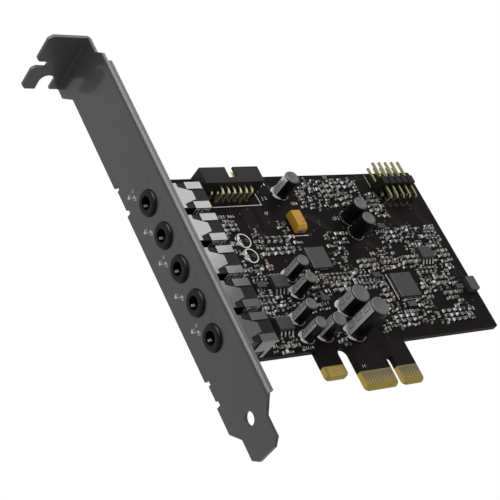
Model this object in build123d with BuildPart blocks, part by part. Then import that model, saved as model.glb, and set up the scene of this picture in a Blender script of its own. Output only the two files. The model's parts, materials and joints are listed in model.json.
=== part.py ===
# Low-profile sound card with a full-height slot bracket and five 3.5 mm jacks.
# Frame: X runs along the board away from the bracket's outer face, Y runs from the finger tips
# to the board's top edge, Z runs out of the component side. The board's component face is Z = 0.
from build123d import *
import os

os.makedirs("parts", exist_ok=True)

# Circuit board
board_thickness = 1.6
board_left = 1.3
board_right = 103.7
board_top = 68.4
board_bottom = 12.8
board_foot_right = 11.0
board_foot_bottom = 3.4
board_corner_radius = 0.6

# Edge connector
finger_pitch = 1.0
finger_width = 0.7
finger_length = 3.9
finger_thickness = 0.05
finger_side_margin = 0.17
fingers_left_of_key = 11
fingers_right_of_key = 7
key_centre_x = 57.1
key_width = 2.4
key_top = 8.6
edge_bevel_height = 1.3
edge_bevel_depth = 0.45
tab_corner = 0.7
guard_tab_width = 7.0
guard_tab_tip = 4.7
guard_pad_top = 8.0
guard_slot_width = 4.1

# Bracket sheet
sheet = 0.86
bracket_low_z = -4.07
bracket_width = 18.42
bracket_length = 120.02
bracket_tip_y = -14.1
ear_depth = 11.43
ear_low_z = -7.8
ear_high_z = 12.1
ear_step_drop = 3.32
tongue_low_z = -0.7
tongue_width = 11.1
tongue_length = 7.0
tongue_tip_chamfer = 1.5
tongue_tip_taper = 2.2
tongue_hole_diameter = 3.5
tongue_hole_rise = 9.5
lip_depth = 1.9
lip_bottom_rise = 11.1
lip_top_drop = 9.62
lip_bend_radius = 1.2
ear_bend_inner_radius = 0.35
screw_slot_width = 4.42
screw_slot_x = -5.0
screw_slot_top_z = -2.5
ear_notch_x = -7.6
ear_notch_low_z = 0.5
ear_notch_width = 2.2
ear_notch_mouth = 0.9
ear_corner = 1.1

# Bracket tabs under the board
tab_bend_z = -3.4
tab_reach = 9.0
tab_step_x = 2.7
upper_tab_y = 64.5
upper_tab_width = 6.0
lower_tab_y = 7.0
lower_tab_width = 4.2
relief_width = 1.5
relief_z = -2.55
tab_screw_x = 6.2
screw_diameter = 2.5
screw_head_diameter = 4.2
screw_head_height = 1.5
screw_clearance = 0.2

# Jacks
jack_count = 5
jack_pitch = 10.0
first_jack_y = 57.1
jack_axis_z = 5.5
jack_bore_diameter = 3.6
jack_bore_depth = 13.5
jack_collar_diameter = 6.9
jack_collar_reach = 0.85
jack_collar_round = 0.75
jack_hole_clearance = 0.2
jack_front_gap = 0.14
jack_half_width = 3.9
jack_back_x = 16.8
jack_height = 7.9
clip_sheet = 0.25
clip_front_x = 11.3
clip_back_x = 16.3
clip_strap_width = 1.9
clip_side_bottom_z = 3.4
clip_foot_width = 1.2
top_plate_front_x = 3.0
top_plate_bar_back_x = 8.7
top_plate_back_x = 12.6
top_plate_taper_wide = 2.65
top_plate_taper_narrow = 1.3
contact_groove_width = 1.4
contact_groove_depth = 0.8
contact_front_x = 3.0
contact_pin_x = 13.0
contact_pin_width = 0.8
contact_clearance = 0.05
solder_reach = 1.0

# Shrouded header at the top edge
shroud_pitch = 2.0
shroud_columns = 7
shroud_centre_x = 30.65
shroud_length = 19.7
shroud_mouth_y = 67.7
shroud_depth = 5.1
shroud_height = 5.7
shroud_wall = 0.8
shroud_back_wall = 1.4
shroud_key_width = 2.7
shroud_key_depth = 3.4
shroud_pin = 0.5
shroud_lower_row_z = 1.75
shroud_row_back = 0.5
shroud_foot_pitch = 1.2
shroud_pin_bend = 1.1
shroud_tip_gap = 0.15
shroud_missing_column = 0

# Open right-angle pin header at the top edge
header_pitch = 2.54
header_columns = 5
header_first_x = 86.1
header_tip_y = 69.2
header_pin = 0.64
header_tip_length = 5.84
header_base_depth = 2.5
header_lower_row_z = 1.5
header_row_back = 1.5
bend_radius_share = 1.4

# Radial capacitors: sleeve, can, bung and leads
sleeve_wall = 0.2
sleeve_top_gap = 0.15
can_top_chamfer = 0.35
bung_height = 0.6
lead_diameter = 0.5
lead_sides = 8
small_can = dict(diameter=3.7, lead_pitch=1.5)
middle_can = dict(diameter=4.4, lead_pitch=2.0)
wide_can = dict(diameter=5.7, lead_pitch=2.5)
small_places = [(38.2, 35.9, 7.0), (37.9, 30.6, 7.0), (33.5, 22.8, 7.0), (33.6, 17.2, 7.0)]
middle_places = [(39.9, 17.4, 7.2), (49.7, 62.7, 7.0), (69.3, 53.0, 7.0), (69.4, 47.9, 7.0)]
wide_places = [(51.7, 24.3, 7.0), (50.4, 17.0, 12.0)]

# Moulded chip capacitor
tantalum_x = 48.9
tantalum_y = 51.9
tantalum_length = 6.0
tantalum_width = 3.4
tantalum_height = 2.7
tantalum_terminal = 1.3
tantalum_draft = 6
tantalum_bevel = 0.8

# Chips
converter_x = 50.4
converter_y = 40.2
converter_size = 6.8
converter_height = 0.95
converter_lands_a_side = 7
converter_land_pitch = 0.8
main_chip_x = 76.2
main_chip_y = 29.1
main_chip_size = 7.8
main_chip_height = 1.1
main_chip_lands_a_side = 12
main_chip_land_pitch = 0.55
land_length = 0.6
land_width = 0.3
land_reach = 0.1
centre_pad_margin = 1.0
crystal_x = 75.0
crystal_y = 22.9
crystal_length = 3.2
crystal_width = 1.6
crystal_height = 0.8
soic_length = 4.9
soic_width = 3.9
soic_height = 1.45
soic_lead_pitch = 1.27
soic_lead_width = 0.42
lead_sheet = 0.2
lead_reach = 1.0
lead_foot = 0.6
chip_standoff = 0.1
chip_edge = 0.12
amplifier_places = [(32.7, 33.6), (27.4, 21.1)]
memory_place = (90.5, 38.8)
edge_can_x = 101.5
edge_can_y = 26.9
edge_can_length = 4.5
edge_can_width = 3.6
edge_can_height = 1.8

# Small surface-mount parts
chip_length = 1.6
chip_width = 0.8
chip_end = 0.35
resistor_height = 0.5
capacitor_height = 0.8
# Groups of small parts: centre X, centre Y, columns, rows, column step, row step, turned
resistor_groups = [
    (38.9, 47.4, 5, 1, 2.1, 1.0, True),
    (39.1, 43.6, 4, 2, 2.3, 1.4, False),
    (54.9, 34.3, 6, 1, 1.6, 1.0, True),
    (63.4, 31.6, 3, 2, 1.5, 2.4, True),
    (73.0, 64.6, 3, 2, 2.4, 1.5, False),
    (82.6, 45.6, 2, 3, 2.2, 1.6, False),
    (97.4, 44.6, 3, 2, 1.6, 2.3, True),
    (88.6, 33.6, 4, 1, 1.7, 1.0, True),
    (26.3, 28.4, 4, 2, 1.5, 2.2, True),
    (25.8, 51.9, 3, 2, 2.2, 1.5, False),
    (71.0, 19.0, 4, 2, 2.2, 1.4, False),
    (90.0, 18.2, 4, 3, 2.3, 1.5, False),
]
capacitor_groups = [
    (67.0, 62.4, 2, 3, 2.3, 1.7, False),
    (71.2, 59.4, 1, 3, 1.0, 1.7, False),
    (81.6, 56.6, 2, 3, 2.3, 1.6, False),
    (53.6, 30.6, 3, 2, 2.4, 1.7, False),
    (43.6, 32.8, 2, 3, 2.3, 1.7, False),
    (68.6, 27.4, 1, 4, 1.0, 1.7, False),
    (84.2, 37.4, 3, 2, 2.3, 1.6, False),
    (67.4, 37.4, 3, 2, 2.4, 1.6, False),
    (75.2, 37.9, 3, 1, 1.6, 1.0, True),
    (83.6, 26.2, 1, 3, 1.0, 1.7, False),
    (91.6, 29.6, 2, 2, 2.4, 1.8, False),
    (92.2, 24.4, 2, 2, 2.4, 1.7, False),
    (26.4, 15.0, 3, 1, 2.3, 1.0, False),
    (98.2, 38.6, 2, 2, 2.2, 1.6, False),
]
# Small leaded chips: X, Y
regulator_places = [(26.4, 33.2), (45.0, 27.4), (96.4, 26.6), (79.2, 49.0), (67.4, 33.0)]
regulator_length = 2.9
regulator_width = 1.5
regulator_height = 1.1
regulator_lead_width = 0.4
regulator_lead_pitch = 0.95


def jack_y(index):
    """Height of a jack's axis up the card, counted from the top."""
    return first_jack_y - index * jack_pitch


board_under = -board_thickness
bracket_high_z = bracket_low_z + bracket_width
bracket_top_y = bracket_tip_y + bracket_length
ear_step_y = bracket_top_y - ear_step_drop
tongue_top_y = bracket_tip_y + tongue_length
tongue_hole_y = bracket_tip_y + tongue_hole_rise
lip_bottom_y = bracket_tip_y + lip_bottom_rise
lip_top_y = bracket_top_y - lip_top_drop
key_left = key_centre_x - key_width / 2
key_right = key_centre_x + key_width / 2
left_tab_width = (fingers_left_of_key - 1) * finger_pitch + finger_width + 2 * finger_side_margin
right_tab_width = (fingers_right_of_key - 1) * finger_pitch + finger_width + 2 * finger_side_margin
left_tab_x = key_left - left_tab_width
right_tab_x = key_right + right_tab_width
guard_tab_right = left_tab_x - guard_slot_width
guard_tab_left = guard_tab_right - guard_tab_width
tab_screw_ys = [upper_tab_y, lower_tab_y]
shroud_first_x = shroud_centre_x - (shroud_columns - 1) * shroud_pitch / 2
shroud_back_y = shroud_mouth_y - shroud_depth
shroud_foot_ys = [shroud_back_y - shroud_row_back, shroud_back_y - shroud_row_back - shroud_foot_pitch]
header_front_y = header_tip_y - header_tip_length
header_back_y = header_front_y - header_base_depth
header_foot_ys = [header_back_y - header_row_back, header_back_y - header_row_back - header_pitch]
contact_pin_z = board_under - solder_reach
capacitor_families = {
    "small": (small_can, small_places),
    "middle": (middle_can, middle_places),
    "wide": (wide_can, wide_places),
}


# Circuit board: one outline with its screw foot, guard tab, slot, key and bevelled edge
with BuildPart() as circuit_board:
    with BuildSketch(Plane.XY.offset(board_under)) as outline:
        with BuildLine():
            Polyline(
                (board_left, board_foot_bottom),
                (board_foot_right, board_foot_bottom),
                (board_foot_right, board_bottom),
                (guard_tab_left, board_bottom),
                (guard_tab_left, guard_tab_tip),
                (guard_tab_right, guard_tab_tip),
                (guard_tab_right, board_bottom),
                (left_tab_x, board_bottom),
                (left_tab_x, 0),
                (key_left, 0),
                (key_left, key_top),
                (key_right, key_top),
                (key_right, 0),
                (right_tab_x, 0),
                (right_tab_x, board_bottom),
                (board_right, board_bottom),
                (board_right, board_top),
                (board_left, board_top),
                (board_left, board_foot_bottom),
            )
        make_face()
        corners = outline.vertices()
        fillet(
            [v for v in corners if guard_tab_right - 0.01 < v.X < left_tab_x + 0.01 and v.Y > guard_pad_top],
            guard_slot_width / 2 - 0.05,
        )
        fillet([v for v in outline.vertices() if abs(v.Y - key_top) < 0.01], key_width / 2 - 0.05)
        fillet([v for v in outline.vertices() if v.X > board_right - 0.01], board_corner_radius)
        chamfer([v for v in outline.vertices() if v.Y < 0.01 or abs(v.Y - guard_tab_tip) < 0.01], tab_corner)
    extrude(amount=board_thickness)
    # Lead-in bevels on both faces of the connector's edge
    with BuildSketch(Plane.YZ.offset(left_tab_x - 1)) as bevels:
        with BuildLine():
            Polyline((-0.01, 0.01), (edge_bevel_height, 0.01), (-0.01, -edge_bevel_depth), (-0.01, 0.01))
        make_face()
        mirror(about=Plane.XZ.offset(board_thickness / 2))
    extrude(amount=right_tab_x - left_tab_x + 2, mode=Mode.SUBTRACT)
    # Screw holes over the bracket's tabs
    with Locations(*[(tab_screw_x, y, 0) for y in tab_screw_ys]):
        Hole((screw_diameter + screw_clearance) / 2)
    # Plated holes, filled by the square pins of both headers
    with BuildSketch(Plane.XY) as pin_holes:
        for foot_y in shroud_foot_ys:
            with Locations((shroud_centre_x, foot_y)):
                with GridLocations(shroud_pitch, 1, shroud_columns, 1):
                    Rectangle(shroud_pin, shroud_pin)
        for foot_y in header_foot_ys:
            with Locations((header_first_x + (header_columns - 1) * header_pitch / 2, foot_y)):
                with GridLocations(header_pitch, 1, header_columns, 1):
                    Rectangle(header_pin, header_pin)
        for index in range(jack_count):
            with Locations((contact_pin_x, jack_y(index))):
                Rectangle(contact_pin_width, clip_sheet)
        for can, places in capacitor_families.values():
            for x, y, height in places:
                with Locations((x, y)):
                    with GridLocations(can["lead_pitch"], 1, 2, 1):
                        RegularPolygon(lead_diameter / 2, lead_sides)
    extrude(amount=-board_thickness, mode=Mode.SUBTRACT)
circuit_board.part.label = "circuit_board"
export_step(circuit_board.part, "parts/circuit_board.step")

# Gold fingers on both faces, and the plain pad on the guard tab
left_finger_centre = (left_tab_x + key_left) / 2
right_finger_centre = (key_right + right_tab_x) / 2
finger_centre_y = edge_bevel_height + finger_length / 2
with BuildPart() as edge_contacts:
    for face_z, grow in ((0, finger_thickness), (board_under, -finger_thickness)):
        with BuildSketch(Plane.XY.offset(face_z)):
            with Locations((left_finger_centre, finger_centre_y)):
                with GridLocations(finger_pitch, 1, fingers_left_of_key, 1):
                    Rectangle(finger_width, finger_length)
            with Locations((right_finger_centre, finger_centre_y)):
                with GridLocations(finger_pitch, 1, fingers_right_of_key, 1):
                    Rectangle(finger_width, finger_length)
            with Locations(((guard_tab_left + guard_tab_right) / 2, (guard_tab_tip + guard_pad_top) / 2)):
                Rectangle(guard_tab_width - 2 * tab_corner, guard_pad_top - guard_tab_tip - 0.4)
        extrude(amount=grow)
edge_contacts.part.label = "edge_contacts"
export_step(edge_contacts.part, "parts/edge_contacts.step")

# Bracket: one folded sheet with ear, lip, tongue, jack holes and two stepped board tabs
tongue_high_z = tongue_low_z + tongue_width
tongue_middle_z = (tongue_low_z + tongue_high_z) / 2
left_shoulder = tongue_low_z - bracket_low_z
right_shoulder = bracket_high_z - tongue_high_z
ear_step = bracket_low_z - ear_low_z
with BuildSketch(Plane.XZ) as tab_profile:
    with BuildLine():
        Polyline(
            (0, tab_bend_z),
            (tab_step_x + 0.3, tab_bend_z),
            (tab_step_x + 1.3, board_under - sheet),
            (tab_reach, board_under - sheet),
            (tab_reach, board_under),
            (tab_step_x + 1.0, board_under),
            (tab_step_x, tab_bend_z + sheet),
            (0, tab_bend_z + sheet),
            (0, tab_bend_z),
        )
    make_face()
with BuildPart() as bracket:
    with BuildSketch(Plane.YZ):
        with BuildLine():
            Polyline(
                (bracket_tip_y, tongue_low_z + tongue_tip_taper),
                (bracket_tip_y, tongue_high_z - tongue_tip_taper),
                (bracket_tip_y + tongue_tip_chamfer, tongue_high_z),
                (tongue_top_y, tongue_high_z),
                (tongue_top_y + right_shoulder, bracket_high_z),
                (ear_step_y - ear_step, bracket_high_z),
                (ear_step_y - ear_step + bracket_high_z - ear_high_z, ear_high_z),
                (bracket_top_y + sheet, ear_high_z),
                (bracket_top_y + sheet, ear_low_z),
                (ear_step_y, ear_low_z),
                (ear_step_y - ear_step, bracket_low_z),
                (tongue_top_y + left_shoulder, bracket_low_z),
                (tongue_top_y, tongue_low_z),
                (bracket_tip_y + tongue_tip_chamfer, tongue_low_z),
                (bracket_tip_y, tongue_low_z + tongue_tip_taper),
            )
        make_face()
        # Relief notches beside each tab, and the tab's own recessed fold
        for tab_y, tab_width in ((upper_tab_y, upper_tab_width), (lower_tab_y, lower_tab_width)):
            with Locations((tab_y, relief_z)):
                Rectangle(
                    tab_width + 2 * relief_width,
                    8,
                    align=(Align.CENTER, Align.MAX),
                    mode=Mode.SUBTRACT,
                )
            with Locations((tab_y, tab_bend_z)):
                Rectangle(tab_width, relief_z - tab_bend_z, align=(Align.CENTER, Align.MIN))
        with Locations(*[(jack_y(index), jack_axis_z) for index in range(jack_count)]):
            Circle((jack_collar_diameter + jack_hole_clearance) / 2, mode=Mode.SUBTRACT)
        with Locations((tongue_hole_y, tongue_middle_z)):
            Circle(tongue_hole_diameter / 2, mode=Mode.SUBTRACT)
    extrude(amount=sheet)
    # Ear that carries the slot screw
    with BuildSketch(Plane.XZ.offset(-bracket_top_y)) as ear:
        with Locations((sheet, ear_low_z)):
            Rectangle(ear_depth + sheet, ear_high_z - ear_low_z, align=(Align.MAX, Align.MIN))
        chamfer([v for v in ear.vertices() if v.X < 0], ear_corner)
        with Locations((screw_slot_x, screw_slot_top_z - screw_slot_width / 2)):
            Circle(screw_slot_width / 2, mode=Mode.SUBTRACT)
            Rectangle(screw_slot_width, bracket_width, align=(Align.CENTER, Align.MAX), mode=Mode.SUBTRACT)
        with Locations((ear_notch_x, ear_notch_low_z)):
            Rectangle(ear_depth, ear_notch_width, align=(Align.MAX, Align.MIN), mode=Mode.SUBTRACT)
        notch_mouth = [v for v in ear.vertices() if v.X < 0.01 - ear_depth and abs(v.Y - ear_notch_low_z) < 3]
        chamfer(notch_mouth, ear_notch_mouth)
    extrude(amount=-sheet)
    # Stiffening lip along the far edge
    with Locations((0, lip_bottom_y, bracket_high_z)):
        Box(lip_depth, lip_top_y - lip_bottom_y, sheet, align=(Align.MIN, Align.MIN, Align.MAX))
    # Stepped tabs that carry the board
    for tab_y, tab_width in ((upper_tab_y, upper_tab_width), (lower_tab_y, lower_tab_width)):
        with BuildSketch(Plane.XZ.offset(-tab_y)):
            add(tab_profile.sketch_local)
        extrude(amount=tab_width / 2, both=True)
    with Locations(*[(tab_screw_x, y, board_under) for y in tab_screw_ys]):
        Hole(screw_diameter / 2, depth=sheet * 2)
    # Rounded folds
    outer_edges = bracket.edges().filter_by(Axis.Y).filter_by(
        lambda e: abs(e.center().X) < 0.01 and abs(e.center().Z - bracket_high_z) < 0.01
    )
    fillet(outer_edges.sort_by(SortBy.LENGTH)[-1], lip_bend_radius)
    ear_edges = bracket.edges().filter_by(Axis.Z)
    fillet(
        ear_edges.filter_by(
            lambda e: abs(e.center().X - sheet) < 0.01 and abs(e.center().Y - bracket_top_y - sheet) < 0.01
        ),
        ear_bend_inner_radius + sheet,
    )
    fillet(
        bracket.edges().filter_by(Axis.Z).filter_by(
            lambda e: abs(e.center().X) < 0.01 and abs(e.center().Y - bracket_top_y) < 0.01
        ),
        ear_bend_inner_radius,
    )
bracket.part.label = "bracket"
export_step(bracket.part, "parts/bracket.step")

# Two pan-head screws through the board into the tapped tabs
with BuildPart() as board_screws:
    with Locations(*[(tab_screw_x, y, 0) for y in tab_screw_ys]):
        Cylinder(screw_head_diameter / 2, screw_head_height, align=(Align.CENTER, Align.CENTER, Align.MIN))
    chamfer(board_screws.edges().group_by(Axis.Z)[-1], screw_head_height * 0.3)
    with Locations(*[(tab_screw_x, y, 0) for y in tab_screw_ys]):
        Cylinder(
            screw_diameter / 2,
            board_thickness + sheet,
            align=(Align.CENTER, Align.CENTER, Align.MAX),
        )
board_screws.part.label = "board_screws"
export_step(board_screws.part, "parts/board_screws.step")

# Jacks: moulded housing, top plate, two side clips and the contact spring
jack_front_x = sheet + jack_front_gap
groove_back_x = contact_pin_x + contact_pin_width / 2 + contact_clearance
spring_gap = jack_bore_diameter / 2 + contact_clearance
for index in range(jack_count):
    axis_y = jack_y(index)
    axis_plane = Plane.XY.offset(jack_axis_z)
    with BuildPart() as jack_housing:
        with Locations((jack_front_x, axis_y, 0)):
            Box(
                jack_back_x - jack_front_x,
                2 * jack_half_width,
                jack_height,
                align=(Align.MIN, Align.CENTER, Align.MIN),
            )
        # Collar and bore, turned about the jack's axis
        with BuildSketch(axis_plane) as collar:
            with BuildLine():
                Polyline(
                    (jack_front_x + 0.5, axis_y),
                    (jack_front_x + 0.5, axis_y + jack_collar_diameter / 2),
                    (-jack_collar_reach, axis_y + jack_collar_diameter / 2),
                    (-jack_collar_reach, axis_y),
                    (jack_front_x + 0.5, axis_y),
                )
            make_face()
            collar_top = [v for v in collar.vertices() if v.X < 0 and v.Y > axis_y + 1]
            fillet(collar_top, jack_collar_round)
        revolve(axis=Axis((0, axis_y, jack_axis_z), (1, 0, 0)))
        with BuildSketch(Plane.YZ.offset(-jack_collar_reach)):
            with Locations((axis_y, jack_axis_z)):
                Circle(jack_bore_diameter / 2)
        extrude(amount=jack_collar_reach + jack_bore_depth, mode=Mode.SUBTRACT)
        # Groove beside the bore for the spring, and the way down for its pin
        with Locations((contact_front_x, axis_y, jack_axis_z)):
            Box(
                groove_back_x - contact_front_x,
                contact_groove_width,
                spring_gap + contact_groove_depth,
                align=(Align.MIN, Align.CENTER, Align.MAX),
                mode=Mode.SUBTRACT,
            )
        with Locations((contact_pin_x, axis_y, -0.1)):
            Box(
                contact_pin_width + 2 * contact_clearance,
                clip_sheet + 2 * contact_clearance,
                jack_axis_z,
                align=(Align.CENTER, Align.CENTER, Align.MIN),
                mode=Mode.SUBTRACT,
            )
    jack_housing.part.label = f"jack_{index + 1}_housing"
    export_step(jack_housing.part, f"parts/jack_{index + 1}_housing.step")

    with BuildPart() as top_plate:
        with BuildSketch(Plane.XY.offset(jack_height)):
            with BuildLine():
                Polyline(
                    (top_plate_front_x, axis_y - jack_half_width),
                    (top_plate_bar_back_x, axis_y - jack_half_width),
                    (top_plate_bar_back_x, axis_y - top_plate_taper_wide),
                    (top_plate_back_x, axis_y - top_plate_taper_narrow),
                    (top_plate_back_x, axis_y + top_plate_taper_narrow),
                    (top_plate_bar_back_x, axis_y + top_plate_taper_wide),
                    (top_plate_bar_back_x, axis_y + jack_half_width),
                    (top_plate_front_x, axis_y + jack_half_width),
                    (top_plate_front_x, axis_y - jack_half_width),
                )
            make_face()
        extrude(amount=clip_sheet)
    top_plate.part.label = f"jack_{index + 1}_top_plate"
    export_step(top_plate.part, f"parts/jack_{index + 1}_top_plate.step")

    with BuildPart() as side_clips:
        for side in (-1, 1):
            wall = axis_y + side * jack_half_width
            with BuildSketch(Plane.XZ.offset(-wall)):
                with BuildLine():
                    Polyline(
                        (clip_front_x, jack_height + clip_sheet),
                        (clip_back_x, jack_height + clip_sheet),
                        (clip_back_x, 0),
                        (clip_back_x - clip_foot_width, 0),
                        (clip_back_x - clip_foot_width, clip_side_bottom_z),
                        (clip_front_x, clip_side_bottom_z),
                        (clip_front_x, jack_height + clip_sheet),
                    )
                make_face()
            extrude(amount=-side * clip_sheet)
            strap_centre = wall - side * clip_strap_width / 2
            with Locations((clip_front_x, strap_centre, jack_height)):
                Box(
                    clip_back_x - clip_front_x,
                    clip_strap_width,
                    clip_sheet,
                    align=(Align.MIN, Align.CENTER, Align.MIN),
                )
    side_clips.part.label = f"jack_{index + 1}_side_clips"
    export_step(side_clips.part, f"parts/jack_{index + 1}_side_clips.step")

    spring_z = jack_axis_z - spring_gap
    with BuildPart() as contact_spring:
        with BuildSketch(Plane.XZ.offset(-axis_y)):
            with BuildLine():
                Polyline(
                    (contact_front_x + 0.3, spring_z - 0.4),
                    (contact_front_x + 2.5, spring_z),
                    (contact_pin_x - 3.0, spring_z),
                    (contact_pin_x, spring_z - 0.4),
                    (contact_pin_x, spring_z - 0.4 - clip_sheet),
                    (contact_pin_x - 3.0, spring_z - clip_sheet),
                    (contact_front_x + 2.5, spring_z - clip_sheet),
                    (contact_front_x + 0.3, spring_z - 0.4 - clip_sheet),
                    (contact_front_x + 0.3, spring_z - 0.4),
                )
            make_face()
        extrude(amount=contact_groove_width / 2 - contact_clearance, both=True)
        with Locations((contact_pin_x, axis_y, contact_pin_z)):
            Box(
                contact_pin_width,
                clip_sheet,
                spring_z - 0.4 - contact_pin_z,
                align=(Align.CENTER, Align.CENTER, Align.MIN),
            )
    contact_spring.part.label = f"jack_{index + 1}_contact_spring"
    export_step(contact_spring.part, f"parts/jack_{index + 1}_contact_spring.step")

# Shrouded header: box with a keyed mouth towards the board's top edge
with BuildPart() as shroud_housing:
    with Locations((shroud_centre_x, shroud_mouth_y, 0)):
        Box(shroud_length, shroud_depth, shroud_height, align=(Align.CENTER, Align.MAX, Align.MIN))
    with Locations((shroud_centre_x, shroud_mouth_y, shroud_wall)):
        Box(
            shroud_length - 2 * shroud_wall,
            shroud_depth - shroud_back_wall,
            shroud_height - 2 * shroud_wall,
            align=(Align.CENTER, Align.MAX, Align.MIN),
            mode=Mode.SUBTRACT,
        )
    with Locations((shroud_centre_x, shroud_mouth_y, shroud_height)):
        Box(
            shroud_key_width,
            shroud_key_depth,
            2 * shroud_wall,
            align=(Align.CENTER, Align.MAX, Align.CENTER),
            mode=Mode.SUBTRACT,
        )
    # Passages for the two rows of pins through the back wall
    for row in range(2):
        with Locations((shroud_centre_x, shroud_back_y, shroud_lower_row_z + row * shroud_pitch)):
            with GridLocations(shroud_pitch, 1, shroud_columns, 1):
                Box(shroud_pin, 2 * shroud_back_wall + 0.1, shroud_pin, mode=Mode.SUBTRACT)
shroud_housing.part.label = "shroud_housing"
export_step(shroud_housing.part, "parts/shroud_housing.step")


def bent_pin_profile(tip_y, foot_y, row_z, thickness, bend_radius):
    """Right-angle pin outline in the YZ plane: tip, run, rounded bend and foot."""
    half = thickness / 2
    with BuildSketch(Plane.YZ) as profile:
        with BuildLine():
            Polyline(
                (tip_y, row_z - half),
                (tip_y, row_z + half),
                (foot_y - half, row_z + half),
                (foot_y - half, contact_pin_z),
                (foot_y + half, contact_pin_z),
                (foot_y + half, row_z - half),
                (tip_y, row_z - half),
            )
        make_face()
        outer_corner = [v for v in profile.vertices() if v.X < foot_y and v.Y > row_z]
        inner_corner = [v for v in profile.vertices() if abs(v.X - foot_y - half) < 0.01 and v.Y > 0]
        fillet(outer_corner, bend_radius)
        if bend_radius > 1.5 * thickness:
            fillet(inner_corner, bend_radius - thickness)
    return profile.sketch_local


shroud_tip_y = shroud_mouth_y - shroud_tip_gap
shroud_bends = [shroud_pin * bend_radius_share, shroud_pin_bend]
with BuildPart() as shroud_pins:
    for row in range(2):
        row_z = shroud_lower_row_z + row * shroud_pitch
        profile = bent_pin_profile(shroud_tip_y, shroud_foot_ys[row], row_z, shroud_pin, shroud_bends[row])
        # The upper row lacks one pin, which keys the plug
        for column in range(shroud_columns):
            if row == 1 and column == shroud_missing_column:
                continue
            pin_x = shroud_first_x + column * shroud_pitch
            with BuildSketch(Plane.YZ.offset(pin_x)):
                add(profile)
            extrude(amount=shroud_pin / 2, both=True)
shroud_pins.part.label = "shroud_pins"
export_step(shroud_pins.part, "parts/shroud_pins.step")

# Open pin header: scalloped plastic strip and two rows of bent pins
header_length = header_columns * header_pitch
header_centre_x = header_first_x + (header_columns - 1) * header_pitch / 2
header_height = header_lower_row_z + header_pitch * 1.5
with BuildPart() as header_base:
    with Locations((header_centre_x, header_front_y, 0)):
        Box(header_length, header_base_depth, header_height, align=(Align.CENTER, Align.MAX, Align.MIN))
    with Locations((header_centre_x, header_front_y - header_base_depth / 2, header_height)):
        with GridLocations(header_pitch, 1, header_columns - 1, 1):
            Box(0.5, header_base_depth, 1.0, mode=Mode.SUBTRACT)
    for row in range(2):
        row_z = header_lower_row_z + row * header_pitch
        with Locations((header_centre_x, header_front_y - header_base_depth / 2, row_z)):
            with GridLocations(header_pitch, 1, header_columns, 1):
                Box(header_pin, header_base_depth + 0.1, header_pin, mode=Mode.SUBTRACT)
header_base.part.label = "header_base"
export_step(header_base.part, "parts/header_base.step")

with BuildPart() as header_pins:
    for row in range(2):
        row_z = header_lower_row_z + row * header_pitch
        bend = header_pin * bend_radius_share
        profile = bent_pin_profile(header_tip_y, header_foot_ys[row], row_z, header_pin, bend)
        for column in range(header_columns):
            with BuildSketch(Plane.YZ.offset(header_first_x + column * header_pitch)):
                add(profile)
            extrude(amount=header_pin / 2, both=True)
header_pins.part.label = "header_pins"
export_step(header_pins.part, "parts/header_pins.step")

# Radial capacitors, one node for each kind of piece in a family
for family, (can, places) in capacitor_families.items():
    radius = can["diameter"] / 2
    can_radius = radius - sleeve_wall
    with BuildPart() as sleeves:
        for x, y, height in places:
            with BuildSketch(Plane.XY.offset(0)):
                with Locations((x, y)):
                    Circle(radius)
                    Circle(can_radius, mode=Mode.SUBTRACT)
            extrude(amount=height - sleeve_top_gap)
    sleeves.part.label = f"{family}_capacitor_sleeves"
    export_step(sleeves.part, f"parts/{family}_capacitor_sleeves.step")

    with BuildPart() as cans:
        for x, y, height in places:
            with BuildSketch(Plane.XY.offset(bung_height)):
                with Locations((x, y)):
                    Circle(can_radius)
            extrude(amount=height - bung_height)
        chamfer(
            [e for e in cans.edges().filter_by(GeomType.CIRCLE) if e.center().Z > 3], can_top_chamfer
        )
    cans.part.label = f"{family}_capacitor_cans"
    export_step(cans.part, f"parts/{family}_capacitor_cans.step")

    with BuildPart() as bungs:
        with BuildSketch(Plane.XY):
            for x, y, height in places:
                with Locations((x, y)):
                    Circle(can_radius)
        extrude(amount=bung_height)
    bungs.part.label = f"{family}_capacitor_bungs"
    export_step(bungs.part, f"parts/{family}_capacitor_bungs.step")

    with BuildPart() as leads:
        with BuildSketch(Plane.XY.offset(contact_pin_z)):
            for x, y, height in places:
                with Locations((x, y)):
                    with GridLocations(can["lead_pitch"], 1, 2, 1):
                        RegularPolygon(lead_diameter / 2, lead_sides)
        extrude(amount=-contact_pin_z)
    leads.part.label = f"{family}_capacitor_leads"
    export_step(leads.part, f"parts/{family}_capacitor_leads.step")

# Moulded chip capacitor with a bevelled marked end and folded terminals
with BuildPart() as tantalum_body:
    with BuildSketch(Plane.XY.offset(lead_sheet)):
        with Locations((tantalum_x, tantalum_y)):
            Rectangle(tantalum_width, tantalum_length)
    extrude(amount=(tantalum_height - lead_sheet) / 2)
    top_half = tantalum_body.faces().sort_by(Axis.Z)[-1]
    extrude(top_half, amount=(tantalum_height - lead_sheet) / 2, taper=tantalum_draft)
    marked_edge = tantalum_body.faces().sort_by(Axis.Z)[-1].edges().sort_by(Axis.Y)[0]
    chamfer(marked_edge, tantalum_bevel)
tantalum_body.part.label = "tantalum_body"
export_step(tantalum_body.part, "parts/tantalum_body.step")

with BuildPart() as tantalum_terminals:
    for side in (-1, 1):
        end_y = tantalum_y + side * tantalum_length / 2
        with Locations((tantalum_x, end_y, 0)):
            Box(
                tantalum_width * 0.52,
                tantalum_terminal,
                lead_sheet,
                align=(Align.CENTER, Align.MAX if side > 0 else Align.MIN, Align.MIN),
            )
            Box(
                tantalum_width * 0.52,
                lead_sheet,
                tantalum_height / 2,
                align=(Align.CENTER, Align.MIN if side > 0 else Align.MAX, Align.MIN),
            )
tantalum_terminals.part.label = "tantalum_terminals"
export_step(tantalum_terminals.part, "parts/tantalum_terminals.step")

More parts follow.
